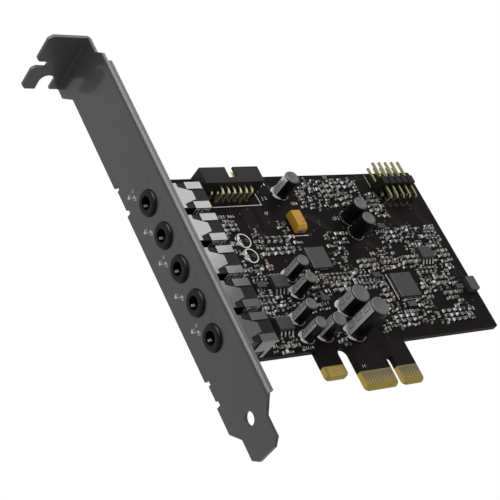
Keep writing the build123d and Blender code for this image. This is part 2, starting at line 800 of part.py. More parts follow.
# Leadless chips and their solder lands
leadless_chips = {
    "converter_chip": (
        (converter_x, converter_y),
        (converter_size, converter_height),
        (converter_lands_a_side, converter_land_pitch),
    ),
    "main_chip": (
        (main_chip_x, main_chip_y),
        (main_chip_size, main_chip_height),
        (main_chip_lands_a_side, main_chip_land_pitch),
    ),
}
for name, (place, (size, height), (lands, pitch)) in leadless_chips.items():
    with BuildPart() as leadless_chip:
        with Locations((*place, lead_sheet)):
            Box(size, size, height - lead_sheet, align=(Align.CENTER, Align.CENTER, Align.MIN))
        chamfer(leadless_chip.edges().group_by(Axis.Z)[-1], chip_edge)
    leadless_chip.part.label = name
    export_step(leadless_chip.part, f"parts/{name}.step")

    with BuildPart() as leadless_lands:
        pad = size - 2 * (land_length + centre_pad_margin)
        with Locations((*place, 0)):
            Box(pad, pad, lead_sheet, align=(Align.CENTER, Align.CENTER, Align.MIN))
            for quarter in range(4):
                with Locations(Location((0, 0, 0), (0, 0, quarter * 90))):
                    with Locations((size / 2 + land_reach, 0, 0)):
                        with GridLocations(1, pitch, 1, lands):
                            Box(
                                land_length,
                                land_width,
                                lead_sheet,
                                align=(Align.MAX, Align.CENTER, Align.MIN),
                            )
    leadless_lands.part.label = f"{name}_lands"
    export_step(leadless_lands.part, f"parts/{name}_lands.step")


def gull_wing(body_edge):
    """Lead outline in the XZ plane, from a chip's side down to its foot on the board."""
    shoulder_z = chip_standoff + soic_height / 2
    with BuildSketch(Plane.XZ) as wing:
        with BuildLine():
            Polyline(
                (body_edge, shoulder_z),
                (body_edge + lead_reach - lead_foot, shoulder_z),
                (body_edge + lead_reach, lead_sheet / 2),
                (body_edge + lead_reach, 0),
                (body_edge + lead_reach - lead_foot, 0),
                (body_edge, shoulder_z - lead_sheet),
                (body_edge, shoulder_z),
            )
        make_face()
    return wing.sketch_local


# Eight-lead chips: two amplifiers and one memory
soic_wing = gull_wing(soic_width / 2)
with BuildPart(mode=Mode.PRIVATE) as soic_lead:
    with BuildSketch(Plane.XZ):
        add(soic_wing)
    extrude(amount=soic_lead_width / 2, both=True)
for name, places in (("amplifier_chip", amplifier_places), ("memory_chip", [memory_place])):
    with BuildPart() as bodies:
        with Locations(*[(x, y, chip_standoff) for x, y in places]):
            Box(soic_length, soic_width, soic_height, align=(Align.CENTER, Align.CENTER, Align.MIN))
        chamfer([e for e in bodies.edges().filter_by(Axis.X) if e.center().Z > 1], 0.25)
    bodies.part.label = f"{name}_bodies"
    export_step(bodies.part, f"parts/{name}_bodies.step")
    with BuildPart() as wings:
        for x, y in places:
            for turn in (90, 270):
                with Locations(Location((x, y, 0), (0, 0, turn))):
                    with GridLocations(1, soic_lead_pitch, 1, 4):
                        add(soic_lead.part)
    wings.part.label = f"{name}_leads"
    export_step(wings.part, f"parts/{name}_leads.step")

# Metal can at the board's far edge
with BuildPart() as edge_can:
    with Locations((edge_can_x, edge_can_y, 0)):
        Box(
            edge_can_width,
            edge_can_length,
            edge_can_height,
            align=(Align.CENTER, Align.CENTER, Align.MIN),
        )
    fillet(edge_can.edges().filter_by(Axis.Z), 0.4)
edge_can.part.label = "edge_can"
export_step(edge_can.part, "parts/edge_can.step")

# Crystal beside the main chip
with BuildPart() as crystal:
    with Locations((crystal_x, crystal_y, 0)):
        Box(
            crystal_length,
            crystal_width,
            crystal_height,
            align=(Align.CENTER, Align.CENTER, Align.MIN),
        )
    fillet(crystal.edges().filter_by(Axis.Z), chip_edge)
crystal.part.label = "crystal"
export_step(crystal.part, "parts/crystal.step")

# Chip resistors and chip capacitors: a body with a tinned cap on each end
small_kinds = {
    "chip_resistor": (resistor_groups, resistor_height),
    "chip_capacitor": (capacitor_groups, capacitor_height),
}
for name, (groups, height) in small_kinds.items():
    with BuildPart() as chip_bodies:
        for x, y, columns, rows, column_step, row_step, turned in groups:
            with Locations((x, y, 0)):
                with GridLocations(column_step, row_step, round(columns), round(rows)):
                    Box(
                        chip_length - 2 * chip_end,
                        chip_width,
                        height,
                        rotation=(0, 0, 90 if turned else 0),
                        align=(Align.CENTER, Align.CENTER, Align.MIN),
                    )
    chip_bodies.part.label = f"{name}_bodies"
    export_step(chip_bodies.part, f"parts/{name}_bodies.step")

    with BuildPart() as chip_ends:
        for x, y, columns, rows, column_step, row_step, turned in groups:
            with Locations((x, y, 0)):
                with GridLocations(column_step, row_step, round(columns), round(rows)):
                    with Locations(Location((0, 0, 0), (0, 0, 90 if turned else 0))):
                        with GridLocations(chip_length - chip_end, 1, 2, 1):
                            Box(
                                chip_end,
                                chip_width,
                                height,
                                align=(Align.CENTER, Align.CENTER, Align.MIN),
                            )
    chip_ends.part.label = f"{name}_ends"
    export_step(chip_ends.part, f"parts/{name}_ends.step")

# Small leaded regulators
with BuildPart() as regulator_bodies:
    with Locations(*[(x, y, chip_standoff) for x, y in regulator_places]):
        Box(
            regulator_length,
            regulator_width,
            regulator_height,
            align=(Align.CENTER, Align.CENTER, Align.MIN),
        )
regulator_bodies.part.label = "regulator_bodies"
export_step(regulator_bodies.part, "parts/regulator_bodies.step")

with BuildPart() as regulator_leads:
    for x, y in regulator_places:
        for side, count in ((1, 2), (-1, 3)):
            with Locations((x, y + side * regulator_width / 2, 0)):
                with GridLocations(regulator_lead_pitch * (3 - count + 1), 1, count, 1):
                    Box(
                        regulator_lead_width,
                        lead_foot,
                        lead_sheet,
                        align=(Align.CENTER, Align.MIN if side > 0 else Align.MAX, Align.MIN),
                    )
                    Box(
                        regulator_lead_width,
                        lead_sheet,
                        regulator_height / 2,
                        align=(Align.CENTER, Align.MIN if side > 0 else Align.MAX, Align.MIN),
                    )
regulator_leads.part.label = "regulator_leads"
export_step(regulator_leads.part, "parts/regulator_leads.step")
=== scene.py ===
import bmesh
import bpy
import json
import math
import random
from mathutils import Matrix, Vector


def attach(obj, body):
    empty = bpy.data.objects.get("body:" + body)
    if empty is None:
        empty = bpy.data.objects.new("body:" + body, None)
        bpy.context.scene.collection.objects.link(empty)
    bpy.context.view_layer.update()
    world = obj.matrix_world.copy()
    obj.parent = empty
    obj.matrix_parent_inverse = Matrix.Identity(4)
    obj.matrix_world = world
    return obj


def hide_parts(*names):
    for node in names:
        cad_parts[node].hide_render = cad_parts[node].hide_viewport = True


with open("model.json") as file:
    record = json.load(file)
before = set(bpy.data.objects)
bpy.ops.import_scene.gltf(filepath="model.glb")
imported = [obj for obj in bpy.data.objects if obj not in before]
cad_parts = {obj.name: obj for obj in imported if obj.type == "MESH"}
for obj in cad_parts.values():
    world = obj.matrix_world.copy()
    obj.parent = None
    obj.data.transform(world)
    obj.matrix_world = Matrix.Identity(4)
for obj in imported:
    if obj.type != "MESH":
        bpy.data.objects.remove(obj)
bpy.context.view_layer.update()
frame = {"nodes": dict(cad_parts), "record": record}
MM = 0.001
UP = Vector((0, 0, 1))

# Camera, fitted to the photograph
FOCAL_LENGTH = 99.99
SENSOR_WIDTH = 36
NEAREST_SEEN = 0.01
CAMERA_UP = Vector((0.05608452, 0.80672334, 0.58826183))
CAMERA_BACK = Vector((-0.63468472, -0.4260169, 0.64473631))
CAMERA_PLACE = Vector((-199.24578541, -108.82132423, 232.31725465)) * MM


def place_camera():
    """Looks at the card from the photographer's place."""
    data = bpy.data.cameras.new("camera")
    data.lens = FOCAL_LENGTH
    data.sensor_width = SENSOR_WIDTH
    data.clip_start = NEAREST_SEEN
    camera = bpy.data.objects.new("camera", data)
    axes = Matrix((CAMERA_UP.cross(CAMERA_BACK), CAMERA_UP, CAMERA_BACK)).transposed()
    camera.matrix_world = Matrix.Translation(CAMERA_PLACE) @ axes.to_4x4()
    bpy.context.scene.collection.objects.link(camera)
    bpy.context.scene.camera = camera


place_camera()
bpy.context.scene.view_settings.view_transform = "Standard"

# Sizes shared with the part's source, in millimetres
BOARD_UNDER = -1.6
JACK_YS = [57.1 - 10 * index for index in range(5)]
JACK_PIN_X = 13.0
EAR_UNDERSIDE = 105.92
SHROUD_FIRST_X = 24.65
SHROUD_PITCH = 2.0
SHROUD_COLUMNS = 7
SHROUD_FOOT_YS = (62.1, 60.9)
SHROUD_PIN = 0.5
HEADER_FIRST_X = 86.1
HEADER_PITCH = 2.54
HEADER_COLUMNS = 5
HEADER_FOOT_YS = (59.36, 56.82)
HEADER_PIN = 0.64
CAPACITOR_LEAD = 0.5
# Radial capacitors by family, with the x, y and height of each
CAPACITORS = {
    "small": dict(
        diameter=3.7, lead_pitch=1.5,
        places=[(38.2, 35.9, 7.0), (37.9, 30.6, 7.0), (33.5, 22.8, 7.0), (33.6, 17.2, 7.0)],
    ),
    "middle": dict(
        diameter=4.4, lead_pitch=2.0,
        places=[(39.9, 17.4, 7.2), (49.7, 62.7, 7.0), (69.3, 53.0, 7.0), (69.4, 47.9, 7.0)],
    ),
    "wide": dict(diameter=5.7, lead_pitch=2.5, places=[(51.7, 24.3, 7.0), (50.4, 17.0, 12.0)]),
}


def capacitors():
    """Every radial capacitor's x, y, height, radius and distance between its leads."""
    for family in CAPACITORS.values():
        for x, y, height in family["places"]:
            yield x, y, height, family["diameter"] / 2, family["lead_pitch"]


# Fronts of the thin prints, by the place of a face
def off_board(centre):
    """Front of a print on the board, on either of its faces."""
    return UP if centre.z > BOARD_UNDER / 2 else -UP


def off_plate(centre):
    """Front of a print on the bracket's outer face."""
    return Vector((-1, 0, 0))


def off_capacitor(centre):
    """Front of a print on a capacitor's side, away from the nearest can's axis."""
    axes = [Vector((x, y, centre.z)) for x, y, *sizes in capacitors()]
    return centre - min(axes, key=lambda axis: (axis - centre).length)


def off_clips(centre):
    """Front of the jack clips' sides that face the edge connector."""
    return Vector((0, -1, 0))


def face_out(mesh, front):
    """Turns each face of a thin print to the front that belongs to its place."""
    mesh.normal_update()
    wrong = [face for face in mesh.faces if face.normal.dot(front(face.calc_center_median())) < 0]
    bmesh.ops.reverse_faces(mesh, faces=wrong)


def card_piece(name, mesh, look, slot, replaced=(), smooth_angle=None, front=None):
    """Turns millimetre geometry into a piece that rides on the card; a thin print names its front."""
    if front:
        face_out(mesh, front)
    else:
        bmesh.ops.recalc_face_normals(mesh, faces=mesh.faces)
    bmesh.ops.scale(mesh, vec=(MM, MM, MM), verts=mesh.verts)
    data = bpy.data.meshes.new(name)
    mesh.to_mesh(data)
    mesh.free()
    data.materials.append(looks[look])
    piece = bpy.data.objects.new(name, data)
    bpy.context.scene.collection.objects.link(piece)
    if smooth_angle:
        data.polygons.foreach_set("use_smooth", [True] * len(data.polygons))
        data.set_sharp_from_angle(angle=math.radians(smooth_angle))
    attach(piece, "root")
    if replaced:
        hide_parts(*replaced)


# Shapes that several pieces use
POLE_REACH = 0.001
SHARPEST_MITRE = 0.5


def turned(mesh, profile, centre, axis=(0, 0, 1), steps=40):
    """Adds a turned shape, closed where it meets its axis: profile is (radius, height along the axis)."""
    axis = Vector(axis).normalized()
    side = axis.orthogonal().normalized()
    centre = Vector(centre)
    points = [mesh.verts.new(centre + side * r + axis * h) for r, h in profile]
    edges = [mesh.edges.new((a, b)) for a, b in zip(points, points[1:])]
    bmesh.ops.spin(
        mesh, geom=points + edges, cent=centre, axis=axis, angle=2 * math.pi, steps=steps, use_merge=True
    )
    if any(r == 0 for r, h in profile):
        bmesh.ops.remove_doubles(mesh, verts=mesh.verts, dist=POLE_REACH)


def block(mesh, low, high):
    """Adds a box between two corners."""
    low, high = Vector(low), Vector(high)
    size = high - low
    place = Matrix.Translation((low + high) / 2) @ Matrix.Diagonal((size.x, size.y, size.z, 1))
    bmesh.ops.create_cube(mesh, size=1, matrix=place)


def flat_shape(mesh, points):
    """Adds one flat face through the points."""
    mesh.faces.new([mesh.verts.new(point) for point in points])


def printed_line(mesh, points, width, lift):
    """Adds a thin printed line along points on the board, with mitred bends."""
    path = [Vector((x, y, 0)) for x, y in points]
    left_side, right_side = [], []
    for index, point in enumerate(path):
        before = (point - path[index - 1]).normalized() if index else None
        after = (path[index + 1] - point).normalized() if index + 1 < len(path) else None
        along = (before or after) + (after or before)
        along.normalize()
        across = UP.cross(along)
        reach = width / 2
        if before and after:
            reach /= max(SHARPEST_MITRE, math.cos(before.angle(after) / 2))
        left_side.append(mesh.verts.new(point + across * reach + UP * lift))
        right_side.append(mesh.verts.new(point - across * reach + UP * lift))
    for index in range(len(path) - 1):
        mesh.faces.new((right_side[index], right_side[index + 1], left_side[index + 1], left_side[index]))


def printed_arc(mesh, x, y, radius, start, end, width, steps, lift):
    """Prints an arc, with angles in degrees."""
    turn = [math.radians(start + (end - start) * step / steps) for step in range(steps + 1)]
    points = [(x + radius * math.cos(angle), y + radius * math.sin(angle)) for angle in turn]
    printed_line(mesh, points, width, lift)


def solder_wedge(mesh, middle, outward, width, reach, height):
    """Adds a solder fillet that slopes from a part's end down to the board."""
    middle, outward = Vector(middle), Vector(outward)
    across = UP.cross(outward) * width / 2
    inner = [middle - across, middle + across, middle + across + UP * height, middle - across + UP * height]
    outer = [middle - across + outward * reach, middle + across + outward * reach]
    a, b, c, d = [mesh.verts.new(point) for point in inner]
    e, f = [mesh.verts.new(point) for point in outer]
    for face in ((a, b, c, d), (e, d, c, f), (a, e, f, b), (a, d, e), (b, f, c)):
        mesh.faces.new(face)


# Finishes
BLOTCH_RANGE = (0.42, 0.58)
SMOOTHEST = 0.02
SHEEN_PATCH_SHARE = 0.4


def card_finish(
    name, colour, roughness, metallic=0.0, patch_mm=4.0, patch=0.12, grain_mm=0.12, grain=0.15,
    rough_spread=0.08, specular=0.5, blotchy=False,
):
    """A material with patchy colour, uneven sheen and a fine grain."""
    made = bpy.data.materials.new(name)
    made.use_nodes = True
    nodes, links = made.node_tree.nodes, made.node_tree.links
    surface = nodes["Principled BSDF"]
    coords = nodes.new("ShaderNodeTexCoord")

    def noise(size_mm, detail):
        texture = nodes.new("ShaderNodeTexNoise")
        texture.inputs["Scale"].default_value = 1 / (size_mm * MM)
        texture.inputs["Detail"].default_value = detail
        links.new(coords.outputs["Object"], texture.inputs["Vector"])
        return texture.outputs["Fac"]

    mix = nodes.new("ShaderNodeMix")
    mix.data_type = "RGBA"
    mix.inputs["A"].default_value = (*[c * (1 - patch) for c in colour], 1)
    mix.inputs["B"].default_value = (*[min(1, c * (1 + patch)) for c in colour], 1)
    spread = nodes.new("ShaderNodeMapRange")
    low, high = BLOTCH_RANGE if blotchy else (0, 1)
    spread.inputs["From Min"].default_value = low
    spread.inputs["From Max"].default_value = high
    links.new(noise(patch_mm, 4), spread.inputs["Value"])
    links.new(spread.outputs["Result"], mix.inputs["Factor"])
    links.new(mix.outputs["Result"], surface.inputs["Base Color"])
    sheen = nodes.new("ShaderNodeMapRange")
    sheen.inputs["To Min"].default_value = max(SMOOTHEST, roughness - rough_spread)
    sheen.inputs["To Max"].default_value = min(1, roughness + rough_spread)
    links.new(noise(patch_mm * SHEEN_PATCH_SHARE, 5), sheen.inputs["Value"])
    links.new(sheen.outputs["Result"], surface.inputs["Roughness"])
    bump = nodes.new("ShaderNodeBump")
    bump.inputs["Strength"].default_value = grain
    bump.inputs["Distance"].default_value = grain_mm * MM
    links.new(noise(grain_mm, 2), bump.inputs["Height"])
    links.new(bump.outputs["Normal"], surface.inputs["Normal"])
    surface.inputs["Metallic"].default_value = metallic
    surface.inputs["Specular IOR Level"].default_value = specular
    return made


def place_steps(made):
    """Gives a material's place on the card, and a maker of steps that work on it."""
    nodes, links = made.node_tree.nodes, made.node_tree.links
    coords = next(node for node in nodes if node.type == "TEX_COORD")
    split = nodes.new("ShaderNodeSeparateXYZ")
    links.new(coords.outputs["Object"], split.inputs["Vector"])

    def step(operation, first, second):
        node = nodes.new("ShaderNodeMath")
        node.operation = operation
        for socket, value in zip(node.inputs, (first, second)):
            if isinstance(value, float):
                socket.default_value = value
            else:
                links.new(value, socket)
        return node.outputs["Value"]

    return split.outputs, step


def blend_colour(made, share, colour):
    """Blends a second colour over a material's own, by the share a step gives."""
    nodes, links = made.node_tree.nodes, made.node_tree.links
    surface = nodes["Principled BSDF"]
    mix = nodes.new("ShaderNodeMix")
    mix.data_type = "RGBA"
    links.new(share, mix.inputs["Factor"])
    links.new(surface.inputs["Base Color"].links[0].from_socket, mix.inputs["A"])
    mix.inputs["B"].default_value = (*colour, 1)
    links.new(mix.outputs["Result"], surface.inputs["Base Color"])


FOLD_REACH = 0.45
FOLD_BACK_X = 0.1
SHEEN_LOST = 0.6


def dull_fold(metal):
    """Takes sheen off the inner fold under the ear, where the ear and the plate shade each other."""
    place, step = place_steps(metal)
    fold = step("GREATER_THAN", place["Y"], (EAR_UNDERSIDE - FOLD_REACH) * MM)
    fold = step("MULTIPLY", fold, step("GREATER_THAN", place["X"], -FOLD_REACH * MM))
    fold = step("MULTIPLY", fold, step("LESS_THAN", place["X"], FOLD_BACK_X * MM))
    surface = metal.node_tree.nodes["Principled BSDF"]
    kept = step("SUBTRACT", 1.0, step("MULTIPLY", fold, SHEEN_LOST))
    sheen = step("MULTIPLY", kept, surface.inputs["Specular IOR Level"].default_value)
    metal.node_tree.links.new(sheen, surface.inputs["Specular IOR Level"])


# Painted light on the ear's cut edge and the lip's flat, which both face the light from above
EAR_EDGE_FROM = 100.9
EAR_EDGE_LEVEL = 12.05
LIP_LEVEL = 14.22
PAINTED_EDGE_LIGHT = (0.17, 0.168, 0.166)


def pale_edges(metal):
    """Painted light: a paler colour on the bracket's cut edge at the ear and on the flat of its lip, standing
    in for light from above.
    """
    place, step = place_steps(metal)
    ear = step("GREATER_THAN", place["Y"], EAR_EDGE_FROM * MM)
    ear = step("MULTIPLY", ear, step("GREATER_THAN", place["Z"], EAR_EDGE_LEVEL * MM))
    lip = step("GREATER_THAN", place["Z"], LIP_LEVEL * MM)
    blend_colour(metal, step("MAXIMUM", ear, lip), PAINTED_EDGE_LIGHT)


FADE_FROM = 1.2
FADE_LENGTH = 2.8
FINGERS_FROM_X = 43
ROOT_GOLD = (0.125, 0.100, 0.050)


def darker_roots(metal):
    """Lets the fingers' colour fade from their tips up to the mask."""
    place, step = place_steps(metal)
    fade = step("DIVIDE", step("SUBTRACT", place["Y"], FADE_FROM * MM), FADE_LENGTH * MM)
    fade = step("MINIMUM", step("MAXIMUM", fade, 0.0), 1.0)
    fade = step("MULTIPLY", fade, step("GREATER_THAN", place["X"], FINGERS_FROM_X * MM))
    blend_colour(metal, fade, ROOT_GOLD)


TIP_BARE = 5.25
GUARD_BARE = 8.05
GUARD_LEFT = 33.0
GUARD_RIGHT = 42.0
BARE_LAMINATE = (0.355, 0.27, 0.068)


def bare_below(mask):
    """Leaves the mask's look off the connector's tips and the guard tab, where bare laminate shows."""
    made = mask.copy()
    place, step = place_steps(made)
    tips = step("LESS_THAN", place["Y"], TIP_BARE * MM)
    guard = step("LESS_THAN", place["Y"], GUARD_BARE * MM)
    guard = step("MULTIPLY", guard, step("LESS_THAN", place["X"], GUARD_RIGHT * MM))
    bare = step("MAXIMUM", tips, guard)
    bare = step("MULTIPLY", bare, step("GREATER_THAN", place["X"], GUARD_LEFT * MM))
    blend_colour(made, bare, BARE_LAMINATE)
    return made


# Colour, roughness and the detail that each real surface shows
LOOKS = {
    "solder_mask": dict(colour=(0.0075, 0.0058, 0.0050), roughness=0.5, patch_mm=6, patch=0.3, specular=0.03),
    "mask_over_copper": dict(colour=(0.013, 0.010, 0.009), roughness=0.42, patch_mm=3, specular=0.06),
    "via_ring": dict(colour=(0.055, 0.048, 0.036), roughness=0.4, patch_mm=1, specular=0.2),
    "silk_print": dict(colour=(0.92, 0.92, 0.90), roughness=0.6, patch_mm=0.5, patch=0.1),
    "gold": dict(colour=(0.222, 0.164, 0.046), roughness=0.42, metallic=0.9, patch_mm=1.5, patch=0.15),
    "gold_root": dict(colour=ROOT_GOLD, roughness=0.42, metallic=0.9, patch_mm=1.5, patch=0.15),
    "gap_shade": dict(colour=(0.085, 0.069, 0.034), roughness=0.6, patch_mm=1),
    "bracket_metal": dict(
        colour=(0.056, 0.055, 0.055), roughness=0.32, patch_mm=9, patch=0.05, grain_mm=0.25, grain=0.006,
        rough_spread=0.03, specular=0.2,
    ),
    "plate_print": dict(colour=(0.38, 0.38, 0.38), roughness=0.6, patch_mm=0.5, patch=0.3, specular=0.15),
    "plate_shade": dict(colour=(0.050, 0.050, 0.050), roughness=0.6, patch_mm=0.5, specular=0.15),
    "screw_metal": dict(colour=(0.45, 0.45, 0.46), roughness=0.3, metallic=1),
    "jack_plastic": dict(colour=(0.005, 0.0047, 0.0047), roughness=0.36, grain=0.2, specular=0.09),
    "spring_metal": dict(
        colour=(0.10, 0.10, 0.10), roughness=0.12, metallic=1, patch_mm=2, patch=0.06, grain=0.03,
        rough_spread=0.03,
    ),
    # Painted reflections for the clip sides: grey colour that stands in for the board parts the metal mirrors
    "mottled_painted_reflection": dict(
        colour=(0.34, 0.335, 0.335), roughness=0.5, patch_mm=0.8, patch=0.8, specular=0.3, blotchy=True
    ),
    "plain_painted_reflection": dict(colour=(0.21, 0.208, 0.208), roughness=0.4, patch_mm=3, patch=0.15, specular=0.3),
    "header_plastic": dict(colour=(0.018, 0.0172, 0.0168), roughness=0.5, grain=0.3, specular=0.1),
    "base_plastic": dict(colour=(0.010, 0.0105, 0.0092), roughness=0.5, grain=0.3, specular=0.08),
    "pin_metal": dict(colour=(0.20, 0.195, 0.115), roughness=0.3, metallic=1),
    # Painted light: a lighter copy of pin_metal for the shroud's pins, which sit in the shroud's shade
    "pin_metal_painted_light": dict(colour=(0.56, 0.545, 0.34), roughness=0.38, metallic=0.9),
    "sleeve_film": dict(colour=(0.0055, 0.0062, 0.0068), roughness=0.3, grain=0.05, specular=0.11),
    "stripe_print": dict(colour=(0.56, 0.58, 0.59), roughness=0.4, patch=0.08, specular=0.2),
    "mark_print": dict(colour=(0.045, 0.05, 0.055), roughness=0.45, patch=0.1),
    "can_metal": dict(colour=(0.089, 0.088, 0.087), roughness=0.5, metallic=0.3, patch_mm=1, specular=0.3),
    "bung_rubber": dict(colour=(0.02, 0.02, 0.02), roughness=0.7),
    "tinned_wire": dict(colour=(0.34, 0.34, 0.33), roughness=0.35, metallic=1, patch_mm=0.8),
    # Painted glint: near-white colour that stands in for highlights on the contact tips and the solder drops
    "painted_glint": dict(colour=(0.92, 0.92, 0.91), roughness=0.3, patch_mm=1, patch=0.05),
    "dull_tin": dict(
        colour=(0.33, 0.33, 0.32), roughness=0.5, metallic=0.1, patch_mm=1.1, patch=0.75, specular=0.25,
        blotchy=True,
    ),
    "tantalum_resin": dict(
        colour=(0.63, 0.335, 0.026), roughness=0.45, patch_mm=1.5, patch=0.08, specular=0.2
    ),
    "bar_print": dict(colour=(0.50, 0.10, 0.015), roughness=0.5, patch=0.1, specular=0.2),
    "chip_resin": dict(
        colour=(0.029, 0.0272, 0.0265), roughness=0.55, patch_mm=1.5, grain=0.4, specular=0.25
    ),
    "converter_resin": dict(
        colour=(0.033, 0.034, 0.029), roughness=0.5, patch_mm=2.5, grain=0.4, specular=0.28
    ),
    "dimple": dict(colour=(0.018, 0.017, 0.017), roughness=0.35),
    "resistor_ceramic": dict(colour=(0.012, 0.012, 0.013), roughness=0.35, specular=0.25),
    "capacitor_ceramic": dict(colour=(0.070, 0.052, 0.037), roughness=0.5, patch_mm=0.8, specular=0.3),
    "warm_ceramic": dict(colour=(0.19, 0.095, 0.055), roughness=0.5, patch_mm=0.8, specular=0.3),
    "crystal_metal": dict(colour=(0.058, 0.055, 0.054), roughness=0.4, metallic=0.2, specular=0.3),
    "crystal_case": dict(colour=(0.035, 0.034, 0.033), roughness=0.4, metallic=0.4),
}
looks = {name: card_finish(name, **details) for name, details in LOOKS.items()}
looks["board"] = bare_below(looks["solder_mask"])
dull_fold(looks["bracket_metal"])
# Painted light on the bracket's upward-facing edge and lip
pale_edges(looks["bracket_metal"])
darker_roots(looks["gold"])

# CAD nodes: their finishes, and rounded edges on the larger ones
SPECIAL_LOOKS = {
    "circuit_board": "board",
    "crystal": "crystal_case",
    "header_base": "base_plastic",
    # The shroud's pins take the lighter, painted-light copy of the pin metal
    "shroud_pins": "pin_metal_painted_light",
    "converter_chip": "converter_resin",
    "regulator_leads": "dull_tin",
}
ROUNDED_EDGES = {"bracket": 0.12, "tantalum_body": 0.12, "shroud_housing": 0.1, "header_base": 0.1}
ROUNDED_EDGES.update({f"jack_{number}_housing": 0.12 for number in range(1, 6)})
SHARPEST_LEFT = 40


def dress_nodes():
    """Gives each CAD node the finish of its slot, or its own where the photograph shows another."""
    slot_of = {row["node"]: row["material_slot"] for row in frame["record"]["subparts"]}
    for node, piece in frame["nodes"].items():
        plain = "dull_tin" if node.endswith(("_ends", "_lands")) else slot_of[node]
        piece.data.materials.clear()
        piece.data.materials.append(looks[SPECIAL_LOOKS.get(node, plain)])


def soften(node, width_mm):
    """Rounds a CAD node's sharp edges with a live bevel."""
    rounding = frame["nodes"][node].modifiers.new("rounding", "BEVEL")
    rounding.width = width_mm * MM
    rounding.segments = 2
    rounding.limit_method = "ANGLE"
    rounding.angle_limit = math.radians(SHARPEST_LEFT)
    rounding.harden_normals = True


dress_nodes()
for node, width_mm in ROUNDED_EDGES.items():
    soften(node, width_mm)

# Radial capacitors: film, drawn top and printed stripe
# Insets from the can's side, with heights above the board or drops from the top
FILM_FOOT = [(0.45, 0.12), (0.12, 0.18), (0.0, 0.4)]
FILM_SHOULDER = [(0.0, 0.45), (0.05, 0.3), (0.16, 0.24)]
TOP_RIM = [(0.14, 0.34), (0.14, 0.24), (0.2, 0.1), (0.34, 0.02), (0.5, 0.0), (0.62, 0.03)]
TOP_DISH = 0.03
# Capacitors beyond this x are turned with their stripe away from the bracket
TURNED_BEYOND = 60
STRIPE_FACING = 165
TURNED_FACING = 8
STRIPE_HALF = 38
STRIPE_FOOT = 0.45
STRIPE_DROP = 0.44
STRIPE_LIFT = 0.012
STRIPE_STEPS = 10
MARK_LIFT = 0.02
MARK_LINE = 0.17
MARK_PITCH = 1.6
WIDE_MARK_PITCH = 3.4
WIDE_RADIUS = 2.5
MARK_LENGTH_SHARE = 0.6
MARK_WIDTH_SHARE = 0.42
MARK_STEPS = 4
SMOOTH_ANGLE = 35


def capacitor_film(mesh, x, y, height, radius):
    """Shrunk film over the can, from the rubber foot to the shoulder."""
    profile = [(radius - inset, rise) for inset, rise in FILM_FOOT]
    profile += [(radius - inset, height - drop) for inset, drop in FILM_SHOULDER]
    turned(mesh, profile, (x, y, 0))


def capacitor_top(mesh, x, y, height, radius):
    """Drawn metal end that stands out of the film, with its rounded rim."""
    profile = [(radius - inset, height - drop) for inset, drop in TOP_RIM]
    turned(mesh, profile + [(0, height - TOP_DISH)], (x, y, 0))


def curved_patch(mesh, x, y, radius, low, high, facing, half_angle, steps):
    """Adds a printed patch that follows a capacitor's side."""
    angles = [facing + half_angle * (2 * step / steps - 1) for step in range(steps + 1)]
    way = [(x + radius * math.cos(angle), y + radius * math.sin(angle)) for angle in angles]
    lower, upper = [[mesh.verts.new((px, py, level)) for px, py in way] for level in (low, high)]
    for step in range(steps):
        mesh.faces.new((lower[step], lower[step + 1], upper[step + 1], upper[step]))


def capacitor_stripe(stripes, marks, x, y, height, radius):
    """Pale polarity stripe up the film's side, with a column of outlined minus marks."""
    facing = math.radians(TURNED_FACING if x > TURNED_BEYOND else STRIPE_FACING)
    spread = math.radians(STRIPE_HALF)
    top = height - STRIPE_DROP
    curved_patch(stripes, x, y, radius + STRIPE_LIFT, STRIPE_FOOT, top, facing, spread, STRIPE_STEPS)
    length = height - 2 * STRIPE_FOOT
    count = round(length / (MARK_PITCH if radius < WIDE_RADIUS else WIDE_MARK_PITCH))
    pitch = length / count
    half_width = spread * MARK_WIDTH_SHARE
    half_line = MARK_LINE / radius / 2
    reach = radius + MARK_LIFT
    for index in range(count):
        middle = STRIPE_FOOT + pitch * (index + 0.5)
        low = middle - pitch * MARK_LENGTH_SHARE / 2
        high = middle + pitch * MARK_LENGTH_SHARE / 2
        for side in (-1, 1):
            line_facing = facing + side * (half_width - half_line)
            curved_patch(marks, x, y, reach, low, high, line_facing, half_line, 1)
        for level in (low, high - MARK_LINE):
            curved_patch(marks, x, y, reach, level, level + MARK_LINE, facing, half_width, MARK_STEPS)


def dress_capacitors():
    """Films, tops and stripes of each family, and the marks on all stripes."""
    marks = bmesh.new()
    print_sides = dict(smooth_angle=SMOOTH_ANGLE, front=off_capacitor)
    for family, sizes in CAPACITORS.items():
        films, tops, stripes = bmesh.new(), bmesh.new(), bmesh.new()
        radius = sizes["diameter"] / 2
        for x, y, height in sizes["places"]:
            capacitor_film(films, x, y, height, radius)
            capacitor_top(tops, x, y, height, radius)
            capacitor_stripe(stripes, marks, x, y, height, radius)
        sleeves, cans = f"{family}_capacitor_sleeves", f"{family}_capacitor_cans"
        card_piece(f"{family}_films", films, "sleeve_film", "sleeve_film", [sleeves], SMOOTH_ANGLE)
        card_piece(f"{family}_tops", tops, "can_metal", "can_metal", [cans], SMOOTH_ANGLE)
        card_piece(f"{family}_stripes", stripes, "stripe_print", "sleeve_film", **print_sides)
    card_piece("minus_marks", marks, "mark_print", "sleeve_film", **print_sides)


dress_capacitors()

# What the board already carries, kept free of prints and small parts
CELL = 0.25
CAPACITOR_ROOM = 0.5
